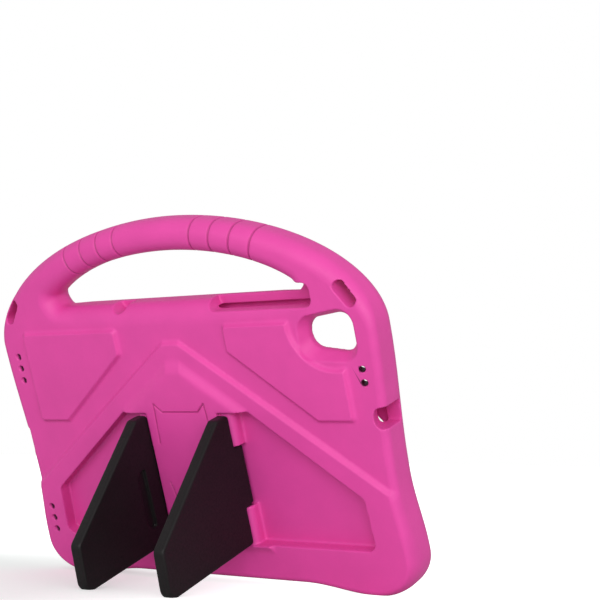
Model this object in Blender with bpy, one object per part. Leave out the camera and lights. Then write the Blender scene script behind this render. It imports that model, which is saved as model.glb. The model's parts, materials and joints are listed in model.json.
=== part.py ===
"""Moulded foam case for a small tablet, with an arched carrying handle and two folding legs.

The case stands on the two bulging lower corners of its foam body and on the feet of its two
black legs, leaning back. All shapes are drawn in the case's own frame: X to the right as seen
from the back, Y up towards the handle, Z out of the back, with Z = 0 on the flat front rim.
An empty leans that frame back and sets it on the table.
"""
import math

import bmesh
import bpy
from mathutils import Matrix, Vector
from mathutils.geometry import delaunay_2d_cdt

MM = 0.001

# Tablet that the pocket takes, lying landscape
TABLET_LENGTH = 202.0 * MM
TABLET_WIDTH = 125.0 * MM
TABLET_THICKNESS = 7.1 * MM
POCKET_CLEARANCE = 1.0 * MM  # all round the tablet's edge
POCKET_CLEARANCE_Z = 0.6 * MM  # between the tablet, the lip and the back wall
POCKET_CORNER_RADIUS = 7.0 * MM
POCKET_CENTRE_Y = -15.6 * MM
POCKET_INNER_EDGE = 0.5 * MM  # small slope in the pocket's inner corners
WINDOW_LENGTH = 190.0 * MM
WINDOW_WIDTH = 115.6 * MM
WINDOW_CORNER_RADIUS = 4.0 * MM
LIP_THICKNESS = 3.9 * MM
LIP_EDGE = 1.0 * MM  # height of the square edge at the window
WINDOW_BEVEL_WIDTH = 5.0 * MM
LENS_NOTCH_BASE = 15.0 * MM
LENS_NOTCH_TOP = 9.0 * MM
LENS_NOTCH_DEPTH = 2.7 * MM
LENS_NOTCH_OVERLAP = 3.0 * MM  # into the window
LENS_NOTCH_SPREAD = (0.6, 0.4, 0.5)  # shares of the window's bevel at its base, its top and its side

# Outline of the moulded body
BODY_THICKNESS = 20.0 * MM
SHOULDER_HALF_WIDTH = 111.8 * MM
SHOULDER_Y = 36.0 * MM
HANDLE_TOP_Y = 91.2 * MM
HANDLE_FULLNESS = 1.95  # 2 is an ellipse, less is slimmer at the shoulders
WAIST_HALF_WIDTH = 108.2 * MM
WAIST_Y = -34.0 * MM
CORNER_HALF_WIDTH = 111.2 * MM
CORNER_Y = -70.5 * MM
CORNER_FLAT_X = 88.0 * MM
CORNER_BOTTOM_Y = -89.5 * MM
BOTTOM_Y = -85.5 * MM
BOTTOM_BLEND_X = 50.0 * MM
OUTLINE_STEPS_HANDLE = 22
OUTLINE_STEPS_SIDE = 9
OUTLINE_STEPS_CORNER = 7
OUTLINE_STEPS_BOTTOM = 8

# Handle opening
GRIP_TOP_Y = 76.0 * MM
GRIP_FLOOR_Y = 52.5 * MM
GRIP_SIDE_X = 67.5 * MM
GRIP_SIDE_HEIGHT = 8.3 * MM  # from the floor to where the arch would meet the side
GRIP_CORNER_RADIUS = 4.0 * MM
GRIP_STEPS = 20

# Rounded edges of the body, each with a width in the outline's plane and a height
EDGE_HEIGHT = 8.0 * MM
BACK_EDGE_WIDTH = 4.5 * MM
FRONT_EDGE_WIDTH = 7.5 * MM
FRONT_EDGE_BOTTOM_WIDTH = 4.5 * MM
HANDLE_EDGE_WIDTH = 7.5 * MM
HANDLE_EDGE_BLEND = 25.0 * MM  # above SHOULDER_Y, up to the handle's own edge
GRIP_EDGE_WIDTH = 7.0 * MM
GRIP_FLOOR_BACK_WIDTH = 10.5 * MM
GRIP_FLOOR_FRONT_WIDTH = 3.0 * MM
GRIP_EDGE_BLEND = 6.0 * MM
EDGE_STEPS = 4

# Raised shapes on the back
RAISE_HEIGHT = 2.0 * MM
RAISE_BEVEL = 1.5 * MM
CHEVRON_PEAK_Y = 34.5 * MM
CHEVRON_PEAK_HALF_WIDTH = 5.0 * MM
CHEVRON_SLOPE = 0.71
CHEVRON_END_Y = -38.5 * MM
CHEVRON_INNER_END_Y = -44.5 * MM
PANEL_TOP_Y = 40.2 * MM
PANEL_INNER_X = 33.4 * MM
PANEL_KNEE_Y = 28.9 * MM
PANEL_BOTTOM_X = 76.0 * MM
PANEL_BOTTOM_Y = -2.2 * MM
PANEL_OUTER_X = 93.5 * MM
PANEL_CORNER_RADIUS = 1.5 * MM
PANEL_FOOT_PUSH = 0.35  # shares by which the panel's slope runs out at its bottom and at its knee
PANEL_KNEE_PUSH = 0.5
PANEL_CUT_RADIUS = 22.9 * MM  # round the camera dish
PANEL_CUT_RIGHT = 3.2 * MM  # its centre, right of the dish's
PANEL_CUT_UP = 6.5 * MM  # and above it
BLOCK_HEIGHT = 2.2 * MM
BLOCK_BEVEL = 6.0 * MM
BLOCK_PEAK_Y = 26.0 * MM
BLOCK_PEAK_HALF_WIDTH = 4.0 * MM
BLOCK_FOOT_Y = -70.0 * MM
BLOCK_HALF_WIDTH = 38.0 * MM
BLOCK_SIDE_BEVEL = 3.6 * MM

# Legs and their recesses
HINGE_X = 24.5 * MM
HINGE_DEPTH = 3.2 * MM  # below the raised back surface
LEG_THICKNESS = 6.0 * MM
LEG_REACH = 68.0 * MM
LEG_REACH_TOP = 66.6 * MM
LEG_TOP_Y = -1.0 * MM
LEG_SHOULDER_REACH = 12.8 * MM
LEG_ELBOW_Y = -41.6 * MM
LEG_BOTTOM_Y = -64.6 * MM
LEG_CORNER_RADIUS = 2.0 * MM
LEG_ELBOW_RADIUS = 4.0 * MM
FOOT_RADIUS = 5.0 * MM
LEG_EDGE_BEVEL = 0.9 * MM
TONGUE_TOP_Y = -17.3 * MM
TONGUE_BOTTOM_Y = -46.7 * MM
BARREL_INSET = 0.9 * MM  # the tongue's round end is this much shorter at both sides
KNUCKLE_RADIUS = 4.0 * MM
RUNNING_GAP = 0.3 * MM
RECESS_CLEARANCE = 1.0 * MM
RECESS_ELBOW_DROP = 0.6 * MM
KNUCKLE_ROOT = 1.5 * MM  # into the recess's floor
KNUCKLE_OVERLAP = 0.5 * MM  # into the recess's ends
PIN_RADIUS = 1.2 * MM
PIN_INSET = 2.5 * MM
SCOOP_DEPTH = 1.6 * MM
SCOOP_NEAR_REACH = 14.0 * MM
SCOOP_FAR_REACH = 20.0 * MM
SCOOP_TOP_Y = -25.0 * MM
SCOOP_BOTTOM_Y = -54.0 * MM
SCOOP_NEAR_RADIUS = 1.0 * MM
SCOOP_FAR_RADIUS = 4.5 * MM

# Openings in the body
CUT_REST_THICKNESS = 8.0 * MM  # what stays of the wall in front of a cut
TOOL_OVERRUN = 2.0 * MM
TOOL_MARGIN = 5.0 * MM  # by which a tool stands out of the body
TROUGH_LEFT_X = 27.0 * MM
TROUGH_RIGHT_X = 83.0 * MM
TROUGH_BOTTOM_Y = 46.4 * MM
TROUGH_TOP_Y = 58.0 * MM
TROUGH_CORNER_RADIUS = 4.0 * MM
NOTCH_X = -29.0 * MM
NOTCH_Y = 53.0 * MM
NOTCH_RADIUS = 5.0 * MM
SLOT_X = 100.0 * MM
SLOT_Y = 52.0 * MM
SLOT_LENGTH = 13.5 * MM
SLOT_WIDTH = 5.4 * MM
SLOT_CORNER_RADIUS = 2.65 * MM
SLOT_ANGLE = math.radians(-54)
DISH_X = 87.3 * MM
DISH_Y = 34.0 * MM
DISH_DEPTH = 5.4 * MM
DISH_HALF_LENGTH = 15.0 * MM
DISH_HALF_HEIGHT = 12.85 * MM
DISH_SLOPE_WIDTH = 3.0 * MM
DISH_OUTER_RADIUS = 7.5 * MM
DISH_INNER_RADIUS = 8.0 * MM
DISH_LEAST_RADIUS = 3.0 * MM
DISH_RADIUS_SHRINK = 0.4  # share of the slope's width that the corners get tighter by
DISH_RIM_LOW = 0.85  # its narrow end, as shares of its half height
DISH_HOLE_LOW = 0.65
DISH_RIM_HIGH = 0.66
CAMERA_DRAFT = 0.3 * MM
JACK_Y = -4.1 * MM
JACK_WIDTH = 9.8 * MM
JACK_MOUTH_X = 103.8 * MM  # its inner end at the flat back
JACK_SLANT = 0.36  # by which that end runs inward to the depth
JACK_CORNER_RADIUS = 4.0 * MM
JACK_FLOOR_Z = 6.0 * MM
PORT_LENGTH = 20.0 * MM  # of the tools that cut the ports
CHARGE_Y = -15.6 * MM
CHARGE_WIDTH = 14.0 * MM
CHARGE_INNER_X = 101.0 * MM
CHARGE_CORNER_RADIUS = 3.0 * MM
CHARGE_FLOOR_Z = 5.0 * MM
CHARGE_TOP_Z = 17.0 * MM
SOUND_Y = -35.0 * MM
SOUND_WIDTH = 12.0 * MM
SOUND_HEIGHT = 4.4 * MM
SOUND_CORNER_RADIUS = 2.0 * MM
SOUND_INNER_X = 99.0 * MM
VENT_RADIUS = 1.25 * MM
VENT_PITCH = 6.2 * MM
VENT_UPPER_Y = 24.4 * MM
VENT_LOWER_Y = -55.7 * MM
VENT_X = 101.5 * MM
VENT_LOWER_X = 103.5 * MM
VENT_SLANT = math.radians(28)
VENT_MOUTH_DEPTH = 1.0 * MM
VENT_DEPTH = 9.5 * MM
VENT_STAND_OUT = 4.0 * MM
MIC_Y = 15.4 * MM

# Stance
LEAN_LIMITS = (math.radians(5), math.radians(45))
FLAT_TRIM = 0.5 * MM  # taken off the feet and corners to stand flat
TABLE_BLOCK = 600.0 * MM

SMOOTH_ANGLE = math.radians(34)

FOAM_PINK = (0.745, 0.070, 0.345, 1.0)
LEG_BLACK = (0.014, 0.012, 0.013, 1.0)
PIN_STEEL = (0.560, 0.560, 0.570, 1.0)

RAISED_Z = BODY_THICKNESS + RAISE_HEIGHT
BLOCK_Z = RAISED_Z + BLOCK_HEIGHT
HINGE_Z = RAISED_Z - HINGE_DEPTH
FLOOR_Z = HINGE_Z - LEG_THICKNESS / 2 - RUNNING_GAP
POCKET_FRONT_Z = LIP_THICKNESS
POCKET_BACK_Z = LIP_THICKNESS + TABLET_THICKNESS + POCKET_CLEARANCE_Z
POCKET_HALF_LENGTH = TABLET_LENGTH / 2 + POCKET_CLEARANCE
POCKET_HALF_WIDTH = TABLET_WIDTH / 2 + POCKET_CLEARANCE
BLOCK_WALL_X = HINGE_X - LEG_THICKNESS / 2 - RUNNING_GAP
TOOL_TOP_Z = BLOCK_Z + TOOL_MARGIN


def clear_scene():
    """Removes the objects of an earlier run."""
    for obj in list(bpy.data.objects):
        bpy.data.objects.remove(obj, do_unlink=True)


def make_material(name, colour, roughness, metallic):
    """One plain Principled material."""
    material = bpy.data.materials.new(name)
    material.use_nodes = True
    shader = material.node_tree.nodes["Principled BSDF"]
    shader.inputs["Base Color"].default_value = colour
    shader.inputs["Roughness"].default_value = roughness
    shader.inputs["Metallic"].default_value = metallic
    material.diffuse_color = colour
    return material


def blend(start, end, share):
    """Eased change from start to end, level at both ends."""
    return start + (end - start) * (1 - math.cos(math.pi * share)) / 2


def body_outline():
    """Half outline from the handle's top down the right side, then its mirror image."""
    half = []
    rise = HANDLE_TOP_Y - SHOULDER_Y
    power = 2 / HANDLE_FULLNESS
    for i in range(OUTLINE_STEPS_HANDLE):
        turn = math.radians(90) * i / OUTLINE_STEPS_HANDLE
        x = SHOULDER_HALF_WIDTH * math.sin(turn) ** power
        half.append((x, SHOULDER_Y + rise * math.cos(turn) ** power))
    for i in range(OUTLINE_STEPS_SIDE):
        share = i / OUTLINE_STEPS_SIDE
        x = blend(SHOULDER_HALF_WIDTH, WAIST_HALF_WIDTH, share)
        half.append((x, SHOULDER_Y + (WAIST_Y - SHOULDER_Y) * share))
    for i in range(OUTLINE_STEPS_CORNER):
        share = i / OUTLINE_STEPS_CORNER
        x = blend(WAIST_HALF_WIDTH, CORNER_HALF_WIDTH, share)
        half.append((x, WAIST_Y + (CORNER_Y - WAIST_Y) * share))
    across = CORNER_HALF_WIDTH - CORNER_FLAT_X
    down = CORNER_Y - CORNER_BOTTOM_Y
    for i in range(OUTLINE_STEPS_CORNER):
        turn = math.radians(90) * i / OUTLINE_STEPS_CORNER
        half.append((CORNER_FLAT_X + across * math.cos(turn), CORNER_Y - down * math.sin(turn)))
    for i in range(OUTLINE_STEPS_BOTTOM):
        share = i / OUTLINE_STEPS_BOTTOM
        y = blend(CORNER_BOTTOM_Y, BOTTOM_Y, share)
        half.append((CORNER_FLAT_X + (BOTTOM_BLEND_X - CORNER_FLAT_X) * share, y))
    half.append((BOTTOM_BLEND_X, BOTTOM_Y))
    half.append((BOTTOM_BLEND_X / 2, BOTTOM_Y))
    half.append((0.0, BOTTOM_Y))
    return half + [(-x, y) for x, y in reversed(half[1:-1])]


def rounded_corner(before, corner, after, radius, steps=5):
    """Points of an arc that rounds one corner of a polygon."""
    a = (Vector(before) - Vector(corner)).normalized()
    b = (Vector(after) - Vector(corner)).normalized()
    half_angle = a.angle(b) / 2
    reach = radius / math.tan(half_angle)
    centre = Vector(corner) + (a + b).normalized() * radius / math.sin(half_angle)
    start = Vector(corner) + a * reach - centre
    end = Vector(corner) + b * reach - centre
    sweep = start.angle_signed(end)
    points = []
    for i in range(steps + 1):
        turn = -sweep * i / steps
        c, s = math.cos(turn), math.sin(turn)
        points.append((centre.x + start.x * c - start.y * s, centre.y + start.x * s + start.y * c))
    return points


def rounded_polygon(corners, radii, steps=5):
    """The polygon with each corner rounded by its own radius, 0 leaves it sharp."""
    points = []
    for i, corner in enumerate(corners):
        radius = radii[i]
        if radius == 0:
            points.append(tuple(corner))
            continue
        points += rounded_corner(corners[i - 1], corner, corners[(i + 1) % len(corners)], radius, steps)
    return points


def rounded_rectangle(half_length, half_width, radius, centre=(0.0, 0.0), steps=5):
    """Clockwise outline about its centre."""
    cx, cy = centre
    corners = [
        (cx + half_length, cy + half_width),
        (cx + half_length, cy - half_width),
        (cx - half_length, cy - half_width),
        (cx - half_length, cy + half_width),
    ]
    return rounded_polygon(corners, [radius] * 4, steps)


def grip_outline():
    """Handle opening: an arch over a straight floor, clockwise like the body outline."""
    rise = GRIP_TOP_Y - SHOULDER_Y
    foot = (GRIP_FLOOR_Y + GRIP_SIDE_HEIGHT - SHOULDER_Y) / rise
    half_width = GRIP_SIDE_X / math.sqrt(1 - foot * foot)
    last = math.asin((GRIP_SIDE_X - GRIP_CORNER_RADIUS) / half_width)
    arch = []
    for i in range(GRIP_STEPS + 1):
        turn = last * (2 * i / GRIP_STEPS - 1)
        arch.append((half_width * math.sin(turn), SHOULDER_Y + rise * math.cos(turn)))
    side_y = arch[-1][1] - GRIP_CORNER_RADIUS
    right = rounded_corner((GRIP_SIDE_X, side_y), (GRIP_SIDE_X, GRIP_FLOOR_Y), (0, GRIP_FLOOR_Y),
                           GRIP_CORNER_RADIUS)
    floor = [(GRIP_SIDE_X * share, GRIP_FLOOR_Y) for share in (0.6, 0.3, 0.0, -0.3, -0.6)]
    left = [(-x, y) for x, y in reversed(right)]
    return arch + [(GRIP_SIDE_X, side_y)] + right + floor + left + [(-GRIP_SIDE_X, side_y)]


def inset_loop(loop, widths, share):
    """The loop moved inward (to the right of its direction) by each point's width times share."""
    moved = []
    for i, (x, y) in enumerate(loop):
        before, after = Vector(loop[i - 1]), Vector(loop[(i + 1) % len(loop)])
        along = (after - before).normalized()
        moved.append((x + along.y * widths[i] * share, y - along.x * widths[i] * share))
    return moved


def ramp(value, width):
    """0 to 1 as value goes from 0 to width."""
    return min(1.0, max(0.0, value / width + 1e-9))


def ridge_height(x, y):
    """Height of the back above BODY_THICKNESS, from the raised chevron and the middle block."""
    x = abs(x)
    lean = math.hypot(1, CHEVRON_SLOPE)
    line = CHEVRON_PEAK_Y - CHEVRON_SLOPE * max(0.0, x - CHEVRON_PEAK_HALF_WIDTH)
    chevron = ramp((line - y) / lean, RAISE_BEVEL)
    line = BLOCK_PEAK_Y - CHEVRON_SLOPE * max(0.0, x - BLOCK_PEAK_HALF_WIDTH)
    block = ramp(min((line - y) / lean, y - BLOCK_FOOT_Y), BLOCK_BEVEL)
    block = min(block, ramp(BLOCK_HALF_WIDTH - x, BLOCK_SIDE_BEVEL))
    return RAISE_HEIGHT * chevron + BLOCK_HEIGHT * block


def chevron_line(peak_y, peak_half_width, end):
    """Points of one chevron line from its left end over the peak to its right end."""
    right = [(peak_half_width, peak_y), end]
    return [(-x, y) for x, y in reversed(right)] + right


def closest(loop, target):
    """Index of the loop's point nearest to the target."""
    return min(range(len(loop)), key=lambda i: (Vector(loop[i]) - Vector(target)).length)


def inside_loop(point, loop):
    """Whether the point lies inside the closed loop."""
    x, y = point
    found = False
    for i, (ax, ay) in enumerate(loop):
        bx, by = loop[i - 1]
        if (ay > y) != (by > y) and x < (bx - ax) * (y - ay) / (by - ay) + ax:
            found = not found
    return found


def distance_to_loop(point, loop):
    """Shortest distance from the point to the closed loop."""
    best = math.inf
    p = Vector(point)
    for i, b in enumerate(loop):
        a, b = Vector(loop[i - 1]), Vector(b)
        along = b - a
        share = min(1.0, max(0.0, (p - a).dot(along) / along.length_squared))
        best = min(best, (p - a - along * share).length)
    return best


def skin(outer_rings, grip_rings, lines, height_of):
    """Triangles over the body between its outline and the handle opening.

    Rings run from the vertical wall inward, each with its drop and its share of the ridges.
    """
    points, edges, ring_of = [], [], []
    for rings in (outer_rings, grip_rings):
        for number, (loop, _, _) in enumerate(rings):
            first = len(points)
            points += [Vector(p) for p in loop]
            ring_of += [number] * len(loop)
            edges += [(first + i, first + (i + 1) % len(loop)) for i in range(len(loop))]
    for line in lines:
        first = len(points)
        points += [Vector(p) for p in line]
        ring_of += [None] * len(line)
        edges += [(first + i, first + i + 1) for i in range(len(line) - 1)]
    found, _, faces, origins, _, _ = delaunay_2d_cdt(points, edges, [], 0, 1e-7)
    outer, grip = outer_rings[0][0], grip_rings[0][0]
    heights = []
    for point, origin in zip(found, origins):
        numbers = [ring_of[i] for i in origin if ring_of[i] is not None]
        number = numbers[0] if numbers else None
        if number is None:
            for k in range(len(outer_rings)):
                near = min(distance_to_loop(point, outer_rings[k][0]),
                           distance_to_loop(point, grip_rings[k][0]))
                if near < 1e-6:
                    number = k
                    break
        drop, share = outer_rings[-1 if number is None else number][1:]
        heights.append(height_of(point.x, point.y, drop, share))
    kept = []
    for face in faces:
        centre = sum((found[i] for i in face), Vector((0, 0))) / 3
        if inside_loop(centre, outer) and not inside_loop(centre, grip):
            kept.append(tuple(face))
    return [Vector((p.x, p.y, z)) for p, z in zip(found, heights)], kept


def edge_rings(loop, widths):
    """Inset loops of a rounded edge, from the wall to the flat, with drops and ridge shares."""
    rings = []
    for i in range(EDGE_STEPS + 1):
        turn = math.radians(90) * i / EDGE_STEPS
        inset = inset_loop(loop, widths, 1 - math.cos(turn))
        rings.append((inset, EDGE_HEIGHT * (1 - math.sin(turn)), math.sin(turn)))
    return rings


def add_object(name, mesh_bm, parent=None, material=None):
    """Turns a bmesh into a scene object with its faces pointing out."""
    bmesh.ops.recalc_face_normals(mesh_bm, faces=mesh_bm.faces)
    mesh = bpy.data.meshes.new(name)
    mesh_bm.to_mesh(mesh)
    mesh_bm.free()
    obj = bpy.data.objects.new(name, mesh)
    bpy.context.scene.collection.objects.link(obj)
    obj.parent = parent
    if material:
        mesh.materials.append(material)
    return obj


def outer_edge_width(y, side_width, bottom_width):
    """Width of the rounded outer edge: one value along the sides, bottom and handle, eased between."""
    bottom = ramp(CORNER_Y - y, CORNER_Y - CORNER_BOTTOM_Y)
    handle = ramp(y - SHOULDER_Y, HANDLE_EDGE_BLEND)
    width = side_width + (bottom_width - side_width) * bottom
    return width + (HANDLE_EDGE_WIDTH - width) * handle


def grip_edge_width(x, y, floor_width):
    """Width of the rounded edge round the handle opening, with its own value along the floor."""
    floor = ramp(GRIP_FLOOR_Y + GRIP_EDGE_BLEND - y, GRIP_EDGE_BLEND)
    floor *= ramp(GRIP_SIDE_X - abs(x), 2 * GRIP_EDGE_BLEND)
    return GRIP_EDGE_WIDTH + (floor_width - GRIP_EDGE_WIDTH) * floor


def block_line(drop):
    """Closed line round the middle block, moved inward from its foot towards its flat top."""
    peak = BLOCK_PEAK_Y - math.hypot(1, CHEVRON_SLOPE) * drop
    foot = BLOCK_FOOT_Y + drop
    side = BLOCK_HALF_WIDTH - BLOCK_SIDE_BEVEL * drop / BLOCK_BEVEL
    shoulder = peak - CHEVRON_SLOPE * (side - BLOCK_PEAK_HALF_WIDTH)
    right = [(BLOCK_PEAK_HALF_WIDTH, peak), (side, shoulder), (side, foot)]
    return right + [(-x, y) for x, y in reversed(right)] + right[:1]


def build_body_blank(parent, material):
    """The body without its openings: back skin, front skin and the walls between them."""
    outer = body_outline()
    grip = list(reversed(grip_outline()))
    outer_back = [outer_edge_width(y, BACK_EDGE_WIDTH, BACK_EDGE_WIDTH) for _, y in outer]
    outer_front = [outer_edge_width(y, FRONT_EDGE_WIDTH, FRONT_EDGE_BOTTOM_WIDTH) for _, y in outer]
    grip_back = [grip_edge_width(x, y, GRIP_FLOOR_BACK_WIDTH) for x, y in grip]
    grip_front = [grip_edge_width(x, y, GRIP_FLOOR_FRONT_WIDTH) for x, y in grip]

    bevel = math.hypot(1, CHEVRON_SLOPE) * RAISE_BEVEL
    foot_end = outer[closest(outer, (WAIST_HALF_WIDTH, CHEVRON_END_Y))]
    top_end = outer[closest(outer, (WAIST_HALF_WIDTH, CHEVRON_INNER_END_Y))]
    lines = [
        chevron_line(CHEVRON_PEAK_Y, CHEVRON_PEAK_HALF_WIDTH, foot_end),
        chevron_line(CHEVRON_PEAK_Y - bevel, CHEVRON_PEAK_HALF_WIDTH, top_end),
        block_line(0.0),
        block_line(BLOCK_BEVEL),
    ]

    def back_height(x, y, drop, share):
        return BODY_THICKNESS - drop + share * ridge_height(x, y)

    back, back_faces = skin(edge_rings(outer, outer_back), edge_rings(grip, grip_back), lines, back_height)
    front, front_faces = skin(edge_rings(outer, outer_front), edge_rings(grip, grip_front), [],
                              lambda x, y, drop, share: drop)

    bm = bmesh.new()
    for points, faces, flip in ((back, back_faces, False), (front, front_faces, True)):
        verts = [bm.verts.new(p) for p in points]
        for face in faces:
            bm.faces.new([verts[i] for i in (reversed(face) if flip else face)])
    loose = [v for v in bm.verts if not v.link_faces]
    bmesh.ops.delete(bm, geom=loose, context="VERTS")
    open_edges = [e for e in bm.edges if e.is_boundary]
    bmesh.ops.bridge_loops(bm, edges=open_edges, use_pairs=True)
    return add_object("case_body", bm, parent, material)


def prism(name, loops, parent, material=None):
    """Closed solid through loops of points (x, y, z) that have the same count."""
    bm = bmesh.new()
    rows = [[bm.verts.new(p) for p in loop] for loop in loops]
    for low, high in zip(rows, rows[1:]):
        for i in range(len(low)):
            j = (i + 1) % len(low)
            bm.faces.new((low[i], low[j], high[j], high[i]))
    bm.faces.new(rows[0])
    bm.faces.new(rows[-1])
    return add_object(name, bm, parent, material)


def flat_prism(name, loop, low, high, parent):
    """Prism along Z of a loop drawn in (x, y)."""
    return prism(name, [[(x, y, z) for x, y in loop] for z in (low, high)], parent)


def along_x(name, loop, low, high, parent):
    """Prism along X of a loop drawn in (y, z)."""
    return prism(name, [[(x, y, z) for y, z in loop] for x in (low, high)], parent)


def rod(name, radius, start, end, parent, steps=16):
    """Cylinder between two points."""
    bm = bmesh.new()
    length = (Vector(end) - Vector(start)).length
    bmesh.ops.create_cone(bm, cap_ends=True, segments=steps, radius1=radius, radius2=radius,
                          depth=length)
    turn = Vector((0, 0, 1)).rotation_difference(Vector(end) - Vector(start)).to_matrix().to_4x4()
    middle = (Vector(start) + Vector(end)) / 2
    bmesh.ops.transform(bm, matrix=Matrix.Translation(middle) @ turn, verts=bm.verts)
    return add_object(name, bm, parent)


def combine(target, tool, operation):
    """Adds a Boolean with a tool that stays hidden."""
    modifier = target.modifiers.new(tool.name, "BOOLEAN")
    modifier.operation = operation
    modifier.object = tool
    modifier.solver = "EXACT"
    tool.hide_render = True
    tool.display_type = "WIRE"
    return modifier


def leg_outline():
    """(reach from the hinge axis, y) of the plate with its hinge tongue."""
    root = KNUCKLE_RADIUS + RUNNING_GAP
    corners = [
        (root, LEG_TOP_Y),
        (LEG_SHOULDER_REACH, LEG_TOP_Y),
        (LEG_REACH_TOP, LEG_ELBOW_Y),
        (LEG_REACH, LEG_BOTTOM_Y),
        (root, LEG_BOTTOM_Y),
    ]
    radii = [LEG_CORNER_RADIUS, LEG_CORNER_RADIUS, LEG_ELBOW_RADIUS, FOOT_RADIUS, LEG_CORNER_RADIUS]
    points = rounded_polygon(corners, radii, 4)
    tongue = [(root, TONGUE_BOTTOM_Y), (0.0, TONGUE_BOTTOM_Y), (0.0, TONGUE_TOP_Y), (root, TONGUE_TOP_Y)]
    return points + tongue


def recess_outline(side):
    """Outline of one leg's recess, a clearance wider than the folded leg."""
    grow = RECESS_CLEARANCE
    lean = math.hypot(LEG_REACH_TOP - LEG_SHOULDER_REACH, LEG_ELBOW_Y - LEG_TOP_Y)
    shift = grow * lean / (LEG_REACH_TOP - LEG_SHOULDER_REACH)
    corners = [
        (BLOCK_WALL_X, LEG_TOP_Y + grow),
        (HINGE_X + LEG_SHOULDER_REACH + shift - grow, LEG_TOP_Y + grow),
        (HINGE_X + LEG_REACH_TOP + grow, LEG_ELBOW_Y + shift - RECESS_ELBOW_DROP),
        (HINGE_X + LEG_REACH + grow, LEG_BOTTOM_Y - grow),
        (BLOCK_WALL_X, LEG_BOTTOM_Y - grow),
    ]
    radii = [0, LEG_CORNER_RADIUS, LEG_ELBOW_RADIUS, LEG_ELBOW_RADIUS, 0]
    return [(side * x, y) for x, y in rounded_polygon(corners, radii, 4)]


def knuckle_section():
    """(x, z) of a knuckle: half a round bar on a straight foot."""
    arc = []
    for i in range(9):
        turn = math.radians(180) * i / 8
        arc.append((HINGE_X + KNUCKLE_RADIUS * math.cos(turn), HINGE_Z + KNUCKLE_RADIUS * math.sin(turn)))
    root = FLOOR_Z - KNUCKLE_ROOT
    return arc + [(HINGE_X - KNUCKLE_RADIUS, root), (HINGE_X + KNUCKLE_RADIUS, root)]


def cut_recess(body, side, parent):
    """Recess for one leg, with the two knuckles left standing at its hinge end."""
    name = "right" if side > 0 else "left"
    cutter = flat_prism(name + "_recess_cutter", recess_outline(side), FLOOR_Z, TOOL_TOP_Z, parent)
    combine(body, cutter, "DIFFERENCE")
    over = RECESS_CLEARANCE + KNUCKLE_OVERLAP
    for top, bottom, part in (
        (LEG_TOP_Y + over, TONGUE_TOP_Y + RUNNING_GAP, "upper"),
        (TONGUE_BOTTOM_Y - RUNNING_GAP, LEG_BOTTOM_Y - over, "lower"),
    ):
        loops = [[(side * x, y, z) for x, z in knuckle_section()] for y in (bottom, top)]
        knuckle = prism(name + "_" + part + "_knuckle", loops, parent)
        combine(body, knuckle, "UNION")
    reach = PIN_INSET - RUNNING_GAP
    bore = rod(name + "_bore_cutter", PIN_RADIUS + RUNNING_GAP,
               (side * HINGE_X, LEG_BOTTOM_Y + reach, HINGE_Z),
               (side * HINGE_X, LEG_TOP_Y - reach, HINGE_Z), parent)
    combine(body, bore, "DIFFERENCE")


def dish_loop(inset, z):
    """Rounded triangle round the camera hole, narrow towards the middle of the case."""
    a, b = DISH_HALF_LENGTH - inset, DISH_HALF_HEIGHT - inset
    depth = ramp(inset, DISH_SLOPE_WIDTH)
    corners = [
        (DISH_X + a, DISH_Y + b),
        (DISH_X + a, DISH_Y - b),
        (DISH_X - a, DISH_Y - b * (DISH_RIM_LOW + (DISH_HOLE_LOW - DISH_RIM_LOW) * depth)),
        (DISH_X - a, DISH_Y + b * DISH_RIM_HIGH),
    ]
    shrink = inset * DISH_RADIUS_SHRINK
    wide = max(DISH_OUTER_RADIUS - shrink, DISH_LEAST_RADIUS)
    narrow = max(DISH_INNER_RADIUS - shrink, DISH_LEAST_RADIUS)
    return [(x, y, z) for x, y in rounded_polygon(corners, [wide, wide, narrow, narrow], 5)]


def cut_pocket(body, parent):
    """The tablet's pocket, with a small slope along the edges of its back wall and its lip."""
    loops = []
    for inset, z in ((POCKET_INNER_EDGE, POCKET_FRONT_Z), (0.0, POCKET_FRONT_Z + POCKET_INNER_EDGE),
                     (0.0, POCKET_BACK_Z - POCKET_INNER_EDGE), (POCKET_INNER_EDGE, POCKET_BACK_Z)):
        loop = rounded_rectangle(POCKET_HALF_LENGTH - inset, POCKET_HALF_WIDTH - inset,
                                 POCKET_CORNER_RADIUS - inset, (0.0, POCKET_CENTRE_Y))
        loops.append([(x, y, z) for x, y in loop])
    combine(body, prism("pocket_cutter", loops, parent), "DIFFERENCE")


def lens_notch_loop(grow, z):
    """Trapezoid at the middle of the window's right side, widened by the bevel's width there."""
    base_spread, top_spread, side_spread = LENS_NOTCH_SPREAD
    edge = WINDOW_LENGTH / 2
    base = LENS_NOTCH_BASE / 2 + grow * base_spread
    top = LENS_NOTCH_TOP / 2 + grow * top_spread
    upper = [(edge - LENS_NOTCH_OVERLAP, base), (edge + grow * side_spread, base),
             (edge + LENS_NOTCH_DEPTH + grow, top)]
    whole = upper + [(x, -y) for x, y in reversed(upper)]
    return [(x, POCKET_CENTRE_Y + y, z) for x, y in whole]


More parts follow.
